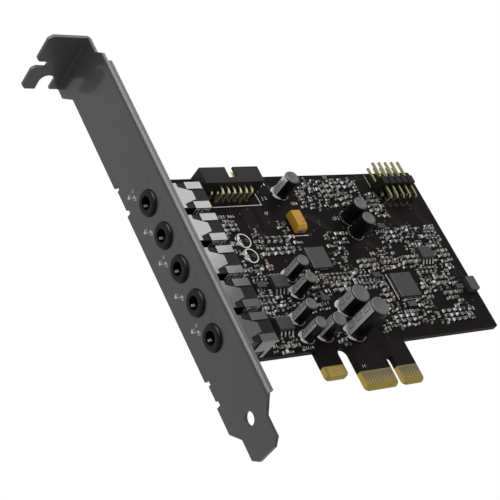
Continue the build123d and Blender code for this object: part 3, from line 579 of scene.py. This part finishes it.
# Corners of the rectangles that stay bare
KEPT_FREE = [
    (0, -1, 16, 69),
    (33, -1, 70, 12.9),
    (60, 12.9, 102, 15),
    (93, 49, 103, 53),
    (84.2, 20.8, 91.0, 26.0),
    (70.7, 24.4, 72.4, 33.8),
    (79.8, 39.7, 83.9, 43.2),
    (62.5, 37.6, 66.5, 43.2),
    (101.2, -1, 104, 69),
    (99.8, 30, 104, 37),
    (65.2, 40.3, 67.0, 42.1),
    (26.4, 40.4, 31.4, 50.2),
]


def cells(low_x, low_y, high_x, high_y):
    """Grid cells under a rectangle of the board."""
    columns = range(math.floor(low_x / CELL), math.ceil(high_x / CELL))
    rows = range(math.floor(low_y / CELL), math.ceil(high_y / CELL))
    return {(column, row) for column in columns for row in rows}


def carried_cells():
    """Cells under the CAD's parts, the bare rectangles and the capacitors' foot prints."""
    found = set()
    for node, piece in frame["nodes"].items():
        if node in ("circuit_board", "edge_contacts", "bracket"):
            continue
        corners = [vertex.co / MM for vertex in piece.data.vertices]
        for polygon in piece.data.polygons:
            xs = [corners[index].x for index in polygon.vertices]
            ys = [corners[index].y for index in polygon.vertices]
            found |= cells(min(xs), min(ys), max(xs), max(ys))
    for rectangle in KEPT_FREE:
        found |= cells(*rectangle)
    for x, y, height, radius, lead_pitch in capacitors():
        reach = radius + CAPACITOR_ROOM
        found |= cells(x - reach, y - reach, x + reach, y + reach)
    return found


taken = carried_cells()


def claim(x, y, reach_x, reach_y):
    """Takes the cells under a part if all are free."""
    wanted = cells(x - reach_x, y - reach_y, x + reach_x, y + reach_y)
    if wanted & taken:
        return False
    taken.update(wanted)
    return True


# Solder at the ends and leads of the CAD's small parts
SOLDERED = [
    ("chip_resistor", "ends"), ("chip_capacitor", "ends"),
    ("amplifier_chip", "leads"), ("memory_chip", "leads"), ("regulator", "leads"),
]
FILLET_REACH = 0.28
LEAD_FILLET_HEIGHT = 0.18
END_FILLET_SHARE = 0.62
FILLET_EXTRA_WIDTH = 0.1


def solid_boxes(node):
    """Corner pairs of every separate solid in a CAD node, in millimetres."""
    copy = bmesh.new()
    copy.from_mesh(frame["nodes"][node].data)
    bmesh.ops.remove_doubles(copy, verts=copy.verts, dist=0.000001)
    waiting = set(copy.verts)
    boxes = []
    while waiting:
        front = [waiting.pop()]
        group = list(front)
        while front:
            for edge in front.pop().link_edges:
                for vertex in edge.verts:
                    if vertex in waiting:
                        waiting.remove(vertex)
                        front.append(vertex)
                        group.append(vertex)
        low = Vector([min(v.co[axis] for v in group) for axis in range(3)]) / MM
        high = Vector([max(v.co[axis] for v in group) for axis in range(3)]) / MM
        boxes.append((low, high))
    copy.free()
    return boxes


def solder_small_parts():
    """A fillet at each end or lead, on the side away from its own part's body."""
    fillets = bmesh.new()
    for kind, metal in SOLDERED:
        centres = [(low + high) / 2 for low, high in solid_boxes(f"{kind}_bodies")]
        for low, high in solid_boxes(f"{kind}_{metal}"):
            middle, size = (low + high) / 2, high - low
            away = middle - min(centres, key=lambda centre: (centre - middle).length)
            outward = Vector((0, math.copysign(1, away.y), 0))
            if metal == "ends" and abs(away.x) > abs(away.y):
                outward = Vector((math.copysign(1, away.x), 0, 0))
            face = Vector((middle.x, middle.y, 0)) + outward * abs(outward.dot(size)) / 2
            width = abs(UP.cross(outward).dot(size)) + FILLET_EXTRA_WIDTH
            height = LEAD_FILLET_HEIGHT if metal == "leads" else size.z * END_FILLET_SHARE
            solder_wedge(fillets, face, outward, width, FILLET_REACH, height)
    card_piece("solder_fillets", fillets, "dull_tin", "tinned_wire")


solder_small_parts()

# Part numbers and other text on the board
TEXT_LIFT = 0.02
LETTER_STEP = 0.62
SMALLEST_FACE = 0.000001


def glyph_faces(letter):
    """Corners and faces of one character, one unit high, without faces that have no area."""
    curve = bpy.data.curves.new("glyph", "FONT")
    curve.body = letter
    curve.resolution_u = 1
    holder = bpy.data.objects.new("glyph", curve)
    data = holder.to_mesh()
    faces = [tuple(face.vertices) for face in data.polygons if face.area > SMALLEST_FACE]
    found = [tuple(v.co) for v in data.vertices], faces
    holder.to_mesh_clear()
    bpy.data.objects.remove(holder)
    bpy.data.curves.remove(curve)
    return found


GLYPHS = {letter: glyph_faces(letter) for letter in "RCLUJQ0123456789"}


def label(mesh, text, x, y, size):
    """Prints a part's number on the board."""
    for place, letter in enumerate(text):
        points, faces = GLYPHS[letter]
        left = x + place * LETTER_STEP * size
        made = [mesh.verts.new((left + px * size, y + py * size, TEXT_LIFT)) for px, py, pz in points]
        for face in faces:
            mesh.faces.new([made[index] for index in face])

# Tidy rows of small parts: first x, y, how many, step in x, kind of body
ROWS = [
    (34.2, 47.5, 10, 0.95, "resistor_ceramic"),
    (33.2, 45.2, 10, 0.95, "capacitor_ceramic"),
    (35.2, 42.6, 8, 0.95, "resistor_ceramic"),
    (25.4, 35.6, 4, 1.35, "resistor_ceramic"),
    (48.0, 34.6, 6, 0.9, "warm_ceramic"),
    (48.6, 32.9, 5, 0.9, "warm_ceramic"),
    (55.2, 62.4, 4, 0.9, "warm_ceramic"),
    (55.6, 60.8, 3, 0.9, "warm_ceramic"),
    (61.0, 33.4, 4, 0.9, "resistor_ceramic"),
    (68.4, 20.0, 6, 0.95, "capacitor_ceramic"),
]
ROW_PART = (1.1, 0.55, 0.42)
ROW_CELL = (0.33, 0.78)
# Looser groups: corners of the area, and how many
CLUSTERS = [
    (54.5, 56.5, 66.0, 66.8, 44),
    (65.0, 57.0, 79.5, 66.8, 30),
    (80.3, 53.0, 85.3, 61.0, 16),
    (76.5, 41.5, 101.0, 48.4, 34),
    (94.3, 33.0, 103.0, 44.0, 17),
    (70.8, 34.8, 88.5, 41.5, 34),
    (59.5, 29.8, 71.8, 35.8, 30),
    (55.0, 36.0, 62.0, 39.5, 5),
    (83.5, 25.5, 97.5, 34.5, 34),
    (64.5, 16.5, 90.0, 25.2, 50),
    (88.0, 15.8, 97.0, 22.5, 16),
    (66.0, 22.0, 72.0, 32.0, 16),
    (57.0, 40.5, 64.5, 48.5, 20),
    (42.8, 43.0, 46.6, 48.3, 12),
    (42.5, 48.5, 46.2, 53.2, 12),
    (23.0, 24.0, 46.0, 33.0, 46),
    (23.0, 33.0, 30.0, 40.5, 14),
    (41.0, 28.0, 48.0, 37.0, 14),
    (50.0, 29.0, 60.0, 35.5, 22),
    (21.0, 13.3, 31.0, 19.0, 18),
    (24.3, 37.4, 33.6, 40.8, 16),
    (23.8, 43.6, 26.2, 50.6, 10),
    (31.6, 41.5, 34.0, 50.6, 8),
    (24.6, 50.6, 28.6, 54.6, 9),
    (42.9, 13.4, 46.6, 17.6, 9),
    (60.6, 15.4, 64.2, 18.8, 5),
]
TRIES_EACH = 14
PLACE_GRID = 0.5
PART_MARGIN = 0.08
# Length, width and height of the parts in the looser groups
TINY_SIZES = [(1.0, 0.5, 0.35), (1.0, 0.5, 0.5), (1.6, 0.8, 0.45), (0.9, 0.9, 0.3)]
# Kinds of body, with how often each comes
TINY_KINDS = {"resistor_ceramic": 5, "capacitor_ceramic": 4, "warm_ceramic": 0.6, "chip_resin": 1}
END_SHARE = 0.24
END_GROWTH = 0.01
SOLDER_REACH = 0.2
SOLDER_HEIGHT_SHARE = 0.55
NUMBER_SIZE = 0.95
NUMBER_GAP = 0.2
NUMBER_INDENT = 0.8
NUMBER_RISE = 0.15
BAR_GAP = 0.3
BAR_CELL = 0.05
BAR_HALF = 0.6
BAR_WIDTH = 0.18
tiny_bodies = {kind: bmesh.new() for kind in TINY_KINDS}
tiny_ends, tiny_solder, part_numbers = bmesh.new(), bmesh.new(), bmesh.new()
chance = random.Random(7)


def tiny_part(x, y, length, width, height, upright, body_mesh):
    """Adds a small part: body, two tinned ends and the solder beyond them."""
    cap = length * END_SHARE
    along = Vector((0, 1, 0)) if upright else Vector((1, 0, 0))
    across = Vector((1, 0, 0)) if upright else Vector((0, 1, 0))
    centre = Vector((x, y, 0))

    def slice_of_part(mesh, start, end, grow):
        low = centre + along * start - across * (width / 2 + grow)
        high = centre + along * end + across * (width / 2 + grow) + UP * (height + grow)
        block(mesh, low, high)

    slice_of_part(body_mesh, cap - length / 2, length / 2 - cap, 0)
    for side in (-1, 1):
        first, last = sorted((side * length / 2, side * (length / 2 - cap)))
        slice_of_part(tiny_ends, first, last, END_GROWTH)
        tip = centre + along * side * length / 2
        solder_width = width + FILLET_EXTRA_WIDTH
        solder_wedge(tiny_solder, tip, along * side, solder_width, SOLDER_REACH, height * SOLDER_HEIGHT_SHARE)


def number_part(x, y, reach_x, reach_y):
    """Prints a number beside or above a part where there is room."""
    text = chance.choice("RRCCCLQU") + str(chance.randint(1, 199))
    text_x, text_y = x - NUMBER_INDENT, y + reach_y + NUMBER_RISE
    if chance.random() < 0.5:
        text_x, text_y = x + reach_x + NUMBER_GAP, y - NUMBER_SIZE / 3
    half_x = len(text) * LETTER_STEP * NUMBER_SIZE / 2
    half_y = NUMBER_SIZE / 3
    if claim(text_x + half_x, text_y + half_y, half_x, half_y):
        label(part_numbers, text, text_x, text_y, NUMBER_SIZE)


def bar_beside(x, y, reach_x):
    """Prints a short bar beside about half of the parts, where there is room."""
    bar_x = x + reach_x + BAR_GAP
    if chance.random() < 0.5 and claim(bar_x, y, BAR_CELL, BAR_HALF):
        printed_line(part_numbers, [(bar_x, y - BAR_HALF), (bar_x, y + BAR_HALF)], BAR_WIDTH, TEXT_LIFT)


def fill_rows():
    """Parts of one kind, side by side."""
    for first_x, y, count, step_x, kind in ROWS:
        for index in range(count):
            x = first_x + index * step_x
            if claim(x, y, *ROW_CELL):
                tiny_part(x, y, *ROW_PART, True, tiny_bodies[kind])


def fill_cluster(low_x, low_y, high_x, high_y, count):
    """Parts of mixed kinds at free places of an area, mostly turned as their neighbour is."""
    placed = 0
    upright = chance.random() < 0.5
    for attempt in range(count * TRIES_EACH):
        if placed == count:
            break
        if chance.random() < 0.25:
            upright = not upright
        length, width, height = chance.choice(TINY_SIZES)
        x = round(chance.uniform(low_x, high_x) / PLACE_GRID) * PLACE_GRID
        y = round(chance.uniform(low_y, high_y) / PLACE_GRID) * PLACE_GRID
        half_length = length / 2 + SOLDER_REACH
        reach_x, reach_y = (width / 2, half_length) if upright else (half_length, width / 2)
        if not claim(x, y, reach_x + PART_MARGIN, reach_y + PART_MARGIN):
            continue
        placed += 1
        kind = chance.choices(list(TINY_KINDS), list(TINY_KINDS.values()))[0]
        tiny_part(x, y, length, width, height, upright, tiny_bodies[kind])
        number_part(x, y, reach_x, reach_y)
        bar_beside(x, y, reach_x)


fill_rows()
for cluster in CLUSTERS:
    fill_cluster(*cluster)
for kind, mesh in tiny_bodies.items():
    card_piece(f"tiny_{kind}_bodies", mesh, kind, "capacitor_ceramic" if kind == "warm_ceramic" else kind)
card_piece("tiny_ends", tiny_ends, "dull_tin", "tinned_wire")
card_piece("tiny_solder", tiny_solder, "dull_tin", "tinned_wire")
card_piece("part_numbers", part_numbers, "silk_print", "solder_mask", front=off_board)

# White prints round the larger parts
SILK_LIFT = 0.018
RING_STEPS = 28
FOOT_RING_GAP = 0.33
FOOT_RING_WIDTH = 0.07
EMPTY_PLACES = [(28.9, 47.7), (28.9, 42.9)]
EMPTY_RING_RADIUS = 2.15
EMPTY_RING_WIDTH = 0.3
# Upper half of the filled side under a marked lead, as shares of the ring's radius
LEAD_SIDE = [(0.42, 0.30), (0.36, 0.84), (0.74, 0.80), (1.10, 0.52), (1.22, 0.26), (1.06, 0.10)]
# Width and points of each printed line
SILK_LINES = [
    (0.2, [(24.3, 58.8), (41.0, 58.9), (40.7, 62.9)]),
    (0.14, [(84.8, 67.9), (85.0, 59.6)]),
    (0.26, [(71.9, 33.4), (71.9, 25.0)]),
    (0.1, [(72.6, 24.7), (80.2, 24.7)]),
    (0.2, [(87.3, 40.6), (87.3, 37.2)]),
    (0.16, [(65.2, 16.9), (74.6, 16.9), (74.6, 17.6)]),
    (0.12, [(85.0, 28.0), (87.6, 28.0), (87.6, 30.5), (85.0, 30.5), (85.0, 28.0)]),
    (0.2, [(46.3, 47.3), (46.3, 48.1), (51.9, 48.1)]),
]
SILK_LABELS = [
    ("C12", 63.6, 52.6, 1.5),
    ("C14", 63.6, 47.4, 1.5),
    ("J2", 42.3, 60.6, 1.5),
    ("J4", 44.2, 65.2, 1.5),
    ("C45", 24.4, 55.2, 1.3),
    ("R46", 27.6, 55.2, 1.3),
    ("C48", 51.4, 58.4, 1.4),
    ("C7", 40.4, 55.6, 1.3),
    ("C114", 31.2, 13.6, 1.2),
    ("11", 46.4, 6.3, 1.2),
    ("C40", 98.4, 47.4, 1.5),
    ("R61", 99.0, 36.0, 1.4),
]


def foot_print(mesh, x, y, radius, ring_width):
    """Outline of a radial capacitor: a thin ring, and a filled side for a marked lead near the bracket."""
    printed_arc(mesh, x, y, radius, 0, 360, ring_width, RING_STEPS, SILK_LIFT)
    if x <= TURNED_BEYOND:
        shape = LEAD_SIDE + [(out, -side) for out, side in reversed(LEAD_SIDE)]
        flat_shape(mesh, [(x - radius * out, y - radius * side, SILK_LIFT) for out, side in shape])


def print_silk():
    """Rings, lines and labels on the board's component side."""
    silk = bmesh.new()
    for x, y, height, radius, lead_pitch in capacitors():
        foot_print(silk, x, y, radius + FOOT_RING_GAP, FOOT_RING_WIDTH)
    for x, y in EMPTY_PLACES:
        foot_print(silk, x, y, EMPTY_RING_RADIUS, EMPTY_RING_WIDTH)
    for width, points in SILK_LINES:
        printed_line(silk, points, width, SILK_LIFT)
    for text, x, y, size in SILK_LABELS:
        label(silk, text, x, y, size)
    card_piece("silk_prints", silk, "silk_print", "solder_mask", front=off_board)


print_silk()

# Solder drops, bare rings round the pins and the cones under the board
DROP_PLACES = [
    (30.3, 38.6), (30.4, 27.0), (25.0, 26.8), (25.0, 13.9), (55.1, 30.9),
    (60.4, 34.7), (89.4, 47.6), (91.1, 42.4), (83.5, 29.3), (88.6, 29.4),
]
DROP_RADIUS = 0.55
DROP_HEIGHT = 0.4
# Shares of the drop's radius and height
DROP_SIDE = [(1, 0), (0.86, 0.45), (0.5, 0.88), (0, 1)]
# Reach beyond the lead's corner, then share of it, each with a height
CONE_FOOT = [(0.45, 0), (0.22, 0.14), (0.06, 0.42)]
CONE_TIP = [(0.9, 0.75), (0, 0.8)]
EMPTY_LEAD_REACH = 0.95
EMPTY_PAD = [(0.32, 0.03), (0.62, 0.03)]
JACK_PIN = 0.6
CORNER_SHARE = 0.72
SOLDER_SMOOTH_ANGLE = 50
vias = bmesh.new()


def solder_drop(mesh, x, y):
    """Adds a rounded drop of solder on the board."""
    turned(mesh, [(DROP_RADIUS * r, DROP_HEIGHT * h) for r, h in DROP_SIDE], (x, y, 0), steps=12)


def solder_cone(mesh, x, y, width):
    """Adds the solder round a lead where it comes out under the board."""
    half = width * CORNER_SHARE
    profile = [(half + reach, height) for reach, height in CONE_FOOT]
    profile += [(half * share, height) for share, height in CONE_TIP]
    turned(mesh, profile, (x, y, BOARD_UNDER), (0, 0, -1), 16)


def header_pins():
    """Place and width of each header pin in the board; the shroud's first column has only one."""
    for column in range(SHROUD_COLUMNS):
        for row, y in enumerate(SHROUD_FOOT_YS):
            if column or not row:
                yield SHROUD_FIRST_X + SHROUD_PITCH * column, y, SHROUD_PIN
    for column in range(HEADER_COLUMNS):
        for y in HEADER_FOOT_YS:
            yield HEADER_FIRST_X + HEADER_PITCH * column, y, HEADER_PIN


def solder_leads():
    """Drops, rings and cones at every lead that goes through the board."""
    drops, cones = bmesh.new(), bmesh.new()
    for x, y in DROP_PLACES:
        solder_drop(drops, x, y)
    for x, y in EMPTY_PLACES:
        for side in (-1, 1):
            turned(vias, EMPTY_PAD, (x + side * EMPTY_LEAD_REACH, y, 0), steps=20)
    for x, y, width in header_pins():
        half = width * CORNER_SHARE
        turned(vias, [(half + 0.3, 0.02), (half, 0.1)], (x, y, 0), steps=12)
        solder_cone(cones, x, y, width)
    for x, y, height, radius, lead_pitch in capacitors():
        for side in (-1, 1):
            solder_cone(cones, x + side * lead_pitch / 2, y, CAPACITOR_LEAD)
    for y in JACK_YS:
        solder_cone(cones, JACK_PIN_X, y, JACK_PIN)
    card_piece("solder_points", cones, "tinned_wire", "tinned_wire", (), SOLDER_SMOOTH_ANGLE)
    # The drops are pale tin painted up to near-white, a painted highlight on the solder
    card_piece("solder_drops", drops, "painted_glint", "tinned_wire", (), SOLDER_SMOOTH_ANGLE)


solder_leads()

# Copper runs that show faintly through the mask on both faces, and via rings
RUN_LIFT = 0.008
RUN_WIDTH = 0.28
FINGER_RUN_WIDTH = 0.3
BACK_RUN_WIDTH = 0.25
VIA_RING = [(0.13, 0.012), (0.3, 0.012)]
VIA_CELL = 0.2
VIA_STEPS = 8
FRONT_VIAS = 260
FRONT_VIA_XS = (21, 103)
FRONT_VIA_YS = (13.5, 67.6)
BACK_VIAS = 200
BACK_VIA_XS = (18, 102)
BACK_VIA_YS = (15, 66)
BACK_RUNS = 70
BACK_RUN_XS = (20, 90)
BACK_RUN_YS = (16, 62)
BACK_RUN_LENGTHS = (3, 11)
BEND_REACH = 2
LONGEST_SLANT = 8
# Points of a bundle's first run, how many runs, step to the next in x and y, width
BUNDLES = [
    ([(33.2, 58.0), (33.2, 50.0), (35.4, 47.8)], 5, 0.72, 0, RUN_WIDTH),
    ([(38.8, 58.0), (38.8, 51.2)], 5, 0.8, 0, RUN_WIDTH),
    ([(24.0, 56.0), (28.0, 56.0), (30.0, 58.0)], 3, 0, -0.7, RUN_WIDTH),
    ([(46.4, 13.2), (46.4, 5.4)], 9, 0.98, 0, FINGER_RUN_WIDTH),
    ([(58.8, 13.0), (58.8, 9.6), (59.2, 9.2), (59.2, 5.4)], 6, 1.0, 0, FINGER_RUN_WIDTH),
    ([(52.6, 21.4), (56.8, 19.6), (60.0, 16.0), (60.0, 12.0)], 2, 0.6, -0.6, RUN_WIDTH),
    ([(86.0, 56.0), (86.0, 51.0), (88.4, 48.6)], 4, 0.9, 0, RUN_WIDTH),
    ([(54.0, 55.0), (60.0, 49.0), (60.0, 45.0)], 4, 0.8, 0, RUN_WIDTH),
    ([(57.0, 38.6), (57.0, 41.0)], 4, 0.8, 0, RUN_WIDTH),
    ([(66.0, 45.0), (72.0, 45.0), (76.0, 41.0)], 4, 0, -0.7, RUN_WIDTH),
    ([(52.0, 66.9), (84.0, 66.9)], 2, 0, -0.55, RUN_WIDTH),
    ([(98.0, 30.5), (102.6, 30.5)], 4, 0, 0.6, RUN_WIDTH),
    ([(97.0, 56.0), (97.0, 51.4), (102.0, 46.6)], 3, 0.8, 0, RUN_WIDTH),
]


def lay_bundles(runs):
    """Lays parallel runs beside one another on the component side."""
    for points, count, step_x, step_y, width in BUNDLES:
        for index in range(count):
            moved = [(x + index * step_x, y + index * step_y) for x, y in points]
            printed_line(runs, moved, width, RUN_LIFT)


def scatter_vias():
    """Via rings at free places in front, and anywhere on the back."""
    for index in range(FRONT_VIAS):
        x, y = round(chance.uniform(*FRONT_VIA_XS), 1), round(chance.uniform(*FRONT_VIA_YS), 1)
        if claim(x, y, VIA_CELL, VIA_CELL):
            turned(vias, VIA_RING, (x, y, 0), steps=VIA_STEPS)
    for index in range(BACK_VIAS):
        x, y = chance.uniform(*BACK_VIA_XS), chance.uniform(*BACK_VIA_YS)
        turned(vias, VIA_RING, (x, y, BOARD_UNDER), (0, 0, -1), VIA_STEPS)


def lay_back_runs(runs):
    """Runs on the board's back: level with one bend at the end, or straight, most of them on a slant."""
    for index in range(BACK_RUNS):
        x, y = chance.uniform(*BACK_RUN_XS), chance.uniform(*BACK_RUN_YS)
        reach, bend = chance.uniform(*BACK_RUN_LENGTHS), chance.choice((-BEND_REACH, BEND_REACH))
        path = [(x, y), (x + reach, y), (x + reach + BEND_REACH, y + bend)]
        if chance.random() < 0.5:
            path = [(x, y), (x + reach, y + reach if reach < LONGEST_SLANT else y)]
        printed_line(runs, path, BACK_RUN_WIDTH, BOARD_UNDER - RUN_LIFT)


copper_runs = bmesh.new()
lay_bundles(copper_runs)
scatter_vias()
lay_back_runs(copper_runs)
card_piece("copper_runs", copper_runs, "mask_over_copper", "solder_mask", front=off_board)
card_piece("via_rings", vias, "via_ring", "solder_mask", front=off_board)

# Edge connector: darker band at the fingers' roots, and shade in the gaps between fingers
FINGER_ROWS = [(44.95, 55.8), (58.4, 65.2)]
BAND_LOW = 4.5
BAND_HIGH = 5.2
BAND_RISE = 0.065
GAP_LOW = 1.35
GAP_HIGH = 5.15
GAP_INSET = 0.1
GAP_LIFT = 0.004


def dress_fingers():
    """The band lies on the fingers in front, and the shade lies below them on both faces."""
    band, gaps = bmesh.new(), bmesh.new()
    for low_x, high_x in FINGER_ROWS:
        block(band, (low_x, BAND_LOW, 0), (high_x, BAND_HIGH, BAND_RISE))
        left, right = low_x + GAP_INSET, high_x - GAP_INSET
        corners = [(left, GAP_LOW), (right, GAP_LOW), (right, GAP_HIGH), (left, GAP_HIGH)]
        for level in (GAP_LIFT, BOARD_UNDER - GAP_LIFT):
            flat_shape(gaps, [(x, y, level) for x, y in corners])
    card_piece("finger_roots", band, "gold_root", "gold")
    card_piece("finger_gaps", gaps, "gap_shade", "solder_mask", front=off_board)


dress_fingers()

# Painted reflections on the sides of the jack clips, seen in the gaps between the jacks and below the lowest
# one: grey panels and dark bars stand in for the board parts that the metal mirrors
CLIP_SIDE_DROP = 4.17
CLIP_SIDE_XS = (11.4, 16.2)
CLIP_SIDE_ZS = (3.6, 7.85)
DARK_BAR_FIRST_X = 11.9
DARK_BAR_STEP = 1.15
DARK_BAR_WIDTH = 0.5
DARK_BAR_ZS = (4.6, 7.3)
DARK_BAR_LIFT = 0.02
DARK_BAR_COUNT = 4


def upright_panel(mesh, y, xs, zs):
    """Adds a flat panel that faces along the card, between two xs and two zs."""
    left, right = xs
    low, high = zs
    flat_shape(mesh, [(left, y, low), (right, y, low), (right, y, high), (left, y, high)])


def dress_clips():
    """Mottled painted reflection with dark bars on the clip sides between the jacks, and one plain painted
    reflection on the side below the lowest jack.
    """
    mottled_reflections, dark_bars, lowest_reflection = bmesh.new(), bmesh.new(), bmesh.new()
    for jack_y in JACK_YS[:-1]:
        side_y = jack_y - CLIP_SIDE_DROP
        upright_panel(mottled_reflections, side_y, CLIP_SIDE_XS, CLIP_SIDE_ZS)
        for index in range(DARK_BAR_COUNT):
            left = DARK_BAR_FIRST_X + DARK_BAR_STEP * index
            upright_panel(dark_bars, side_y - DARK_BAR_LIFT, (left, left + DARK_BAR_WIDTH), DARK_BAR_ZS)
    upright_panel(lowest_reflection, JACK_YS[-1] - CLIP_SIDE_DROP, CLIP_SIDE_XS, CLIP_SIDE_ZS)
    card_piece("clip_painted_reflections", mottled_reflections, "mottled_painted_reflection", "spring_metal", front=off_clips)
    card_piece("clip_dark_bars", dark_bars, "jack_plastic", "jack_plastic", front=off_clips)
    card_piece("lowest_clip_painted_reflection", lowest_reflection, "plain_painted_reflection", "spring_metal", front=off_clips)


dress_clips()

# Marks on the chips and on the tantalum capacitor
DIMPLE_PLACES = [
    ("converter_chip", 47.9, 42.6),
    ("main_chip", 73.3, 32.0),
    ("amplifier_chip_bodies", 31.3, 32.4),
    ("amplifier_chip_bodies", 26.0, 19.9),
    ("memory_chip_bodies", 89.1, 37.6),
]
DIMPLE = [(0, 0.005), (0.3, 0.005)]
POLARITY_BAR = ((48.9, 50.55, 2.69), (50.35, 50.95, 2.71))


def mark_chips():
    """A round dimple by each chip's first lead, and the bar at the tantalum's marked end."""
    dimples, bar = bmesh.new(), bmesh.new()
    for node, x, y in DIMPLE_PLACES:
        top = max(vertex.co.z for vertex in frame["nodes"][node].data.vertices) / MM
        turned(dimples, DIMPLE, (x, y, top), steps=16)
    block(bar, *POLARITY_BAR)
    card_piece("chip_dimples", dimples, "dimple", "chip_resin", front=off_board)
    card_piece("polarity_bar", bar, "bar_print", "tantalum_resin")


mark_chips()

# Signs beside each jack on the bracket's outer face, drawn flat with u along z and v along y
SIGN_PLACES = [(0.55, 62.4), (0.55, 51.6), (0.55, 42.0), (0.65, 32.0), (0.65, 21.8)]
PLATE_LIFT = -0.02
SIGN_LINE = 0.16
SPEAKER = [(-0.5, -0.3), (-0.1, -0.3), (0.4, -0.8), (0.4, 0.8), (-0.1, 0.3), (-0.5, 0.3)]
MICROPHONE = [(-0.32, 0.0), (0.32, 0.0), (0.32, 0.75), (-0.32, 0.75)]
# How far the two signs of a pair and the small round stand from the pair's middle
SPEAKER_OFFSET = (-1.0, 0.85)
MICROPHONE_OFFSET = (1.05, -0.85)
ROUND_OFFSET = (1.4, 1.1)
ROUND_RADIUS = 0.35
ROUND_LINE = 0.14
DASH = [(-0.15, 0.15), (0.3, -0.2)]
DASH_LINE = 0.22


def speaker_sign(mesh, u, v):
    """A small speaker with one wave."""
    flat_shape(mesh, [(u + a, v + b, 0) for a, b in SPEAKER])
    printed_arc(mesh, u + 0.5, v, 0.5, -50, 50, SIGN_LINE, 8, 0)


def microphone_sign(mesh, u, v):
    """A small microphone in its holder."""
    flat_shape(mesh, [(u + a, v + b, 0) for a, b in MICROPHONE])
    printed_arc(mesh, u, v + 0.15, 0.6, 190, 350, SIGN_LINE, 8, 0)
    printed_line(mesh, [(u, v - 0.45), (u, v - 0.85)], SIGN_LINE, 0)


def stamped_sign(mesh, u, v):
    """A faint open round and a dash on the jack's other side."""
    printed_arc(mesh, u + 9.0, v - 0.3, 0.55, 20, 300, SIGN_LINE, 10, 0)
    printed_line(mesh, [(u + 7.0, v - 0.9), (u + 8.0, v - 0.6)], SIGN_LINE, 0)


def onto_plate(mesh):
    """Turns flat geometry into the plane of the bracket's outer face."""
    turn = Matrix(((0, 0, -1, PLATE_LIFT), (0, 1, 0, 0), (1, 0, 0, 0), (0, 0, 0, 1)))
    bmesh.ops.transform(mesh, matrix=turn, verts=mesh.verts)


def print_plate():
    """A pair of signs, a dash between them and a faint mark at each jack; a round at every other one."""
    signs, faint_signs = bmesh.new(), bmesh.new()
    for index, (u, v) in enumerate(SIGN_PLACES):
        speaker_sign(signs, u + SPEAKER_OFFSET[0], v + SPEAKER_OFFSET[1])
        printed_line(signs, [(u + a, v + b) for a, b in DASH], DASH_LINE, 0)
        microphone_sign(signs, u + MICROPHONE_OFFSET[0], v + MICROPHONE_OFFSET[1])
        if index % 2 == 0:
            x, y = u + ROUND_OFFSET[0], v + ROUND_OFFSET[1]
            printed_arc(signs, x, y, ROUND_RADIUS, 0, 330, ROUND_LINE, 10, 0)
        stamped_sign(faint_signs, u, v)
    onto_plate(signs)
    onto_plate(faint_signs)
    card_piece("jack_signs", signs, "plate_print", "bracket_metal", front=off_plate)
    card_piece("faint_signs", faint_signs, "plate_shade", "bracket_metal", front=off_plate)


print_plate()

# Bent contact tips just inside each jack's mouth, painted near-white as a painted glint
TIP_YS = (0.1, 0.8)
OUTER_TIP_XS = (-0.3, 0.15)
OUTER_TIP_ZS = (3.70, 3.86)
INNER_TIP_XS = (0.3, 0.8)
INNER_TIP_ZS = (3.70, 3.90)


def bend_contact_tips():
    """Two short tips at each jack, one behind the other, painted white as a painted glint."""
    tips = bmesh.new()
    for jack_y in JACK_YS:
        for xs, zs in ((OUTER_TIP_XS, OUTER_TIP_ZS), (INNER_TIP_XS, INNER_TIP_ZS)):
            low, high = [(x, jack_y + y, z) for x, y, z in zip(xs, TIP_YS, zs)]
            block(tips, low, high)
    card_piece("contact_tips", tips, "painted_glint", "spring_metal")


bend_contact_tips()

# Lamps and the white surround, in metres
EAR_MIDDLE = (0, 0.095, 0.004)
JACK_PLATES = (0.008, 0.055, 0.008)
SURROUND_LIGHT = 0.6


def lamp(name, place, target, size, power, lights=True, mirrored=True):
    """A square soft lamp that looks at the target, and may be left out of lighting or reflections."""
    data = bpy.data.lights.new(name, "AREA")
    data.size = size
    data.energy = power
    made = bpy.data.objects.new(name, data)
    made.location = place
    made.visible_diffuse = lights
    made.visible_glossy = mirrored
    made.rotation_euler = (Vector(target) - Vector(place)).to_track_quat("-Z", "Y").to_euler()
    bpy.context.scene.collection.objects.link(made)


def white_surround():
    """Even light from all sides, and pure white to the camera, reflections and glass."""
    world = bpy.data.worlds.new("surround")
    bpy.context.scene.world = world
    world.use_nodes = True
    nodes, links = world.node_tree.nodes, world.node_tree.links
    dim = nodes["Background"]
    dim.inputs["Color"].default_value = (1, 1, 1, 1)
    dim.inputs["Strength"].default_value = SURROUND_LIGHT
    plain = nodes.new("ShaderNodeBackground")
    plain.inputs["Color"].default_value = (1, 1, 1, 1)
    plain.inputs["Strength"].default_value = 1.0
    ray = nodes.new("ShaderNodeLightPath")
    white = ray.outputs["Is Camera Ray"]
    for kind in ("Is Glossy Ray", "Is Transmission Ray"):
        larger = nodes.new("ShaderNodeMath")
        larger.operation = "MAXIMUM"
        links.new(white, larger.inputs[0])
        links.new(ray.outputs[kind], larger.inputs[1])
        white = larger.outputs["Value"]
    choose = nodes.new("ShaderNodeMixShader")
    links.new(white, choose.inputs["Fac"])
    links.new(dim.outputs["Background"], choose.inputs[1])
    links.new(plain.outputs["Background"], choose.inputs[2])
    links.new(choose.outputs["Shader"], nodes["World Output"].inputs["Surface"])


lamp("key_lamp", (-0.825, 0.98, -0.866), EAR_MIDDLE, 0.06, 17.0, mirrored=False)
lamp("bend_lamp", (-0.25, 0.39, 0.57), EAR_MIDDLE, 0.7, 21.0, lights=False)
lamp("plate_lamp", (0.352, 0.374, 0.38), JACK_PLATES, 0.17, 0.36)
white_surround()
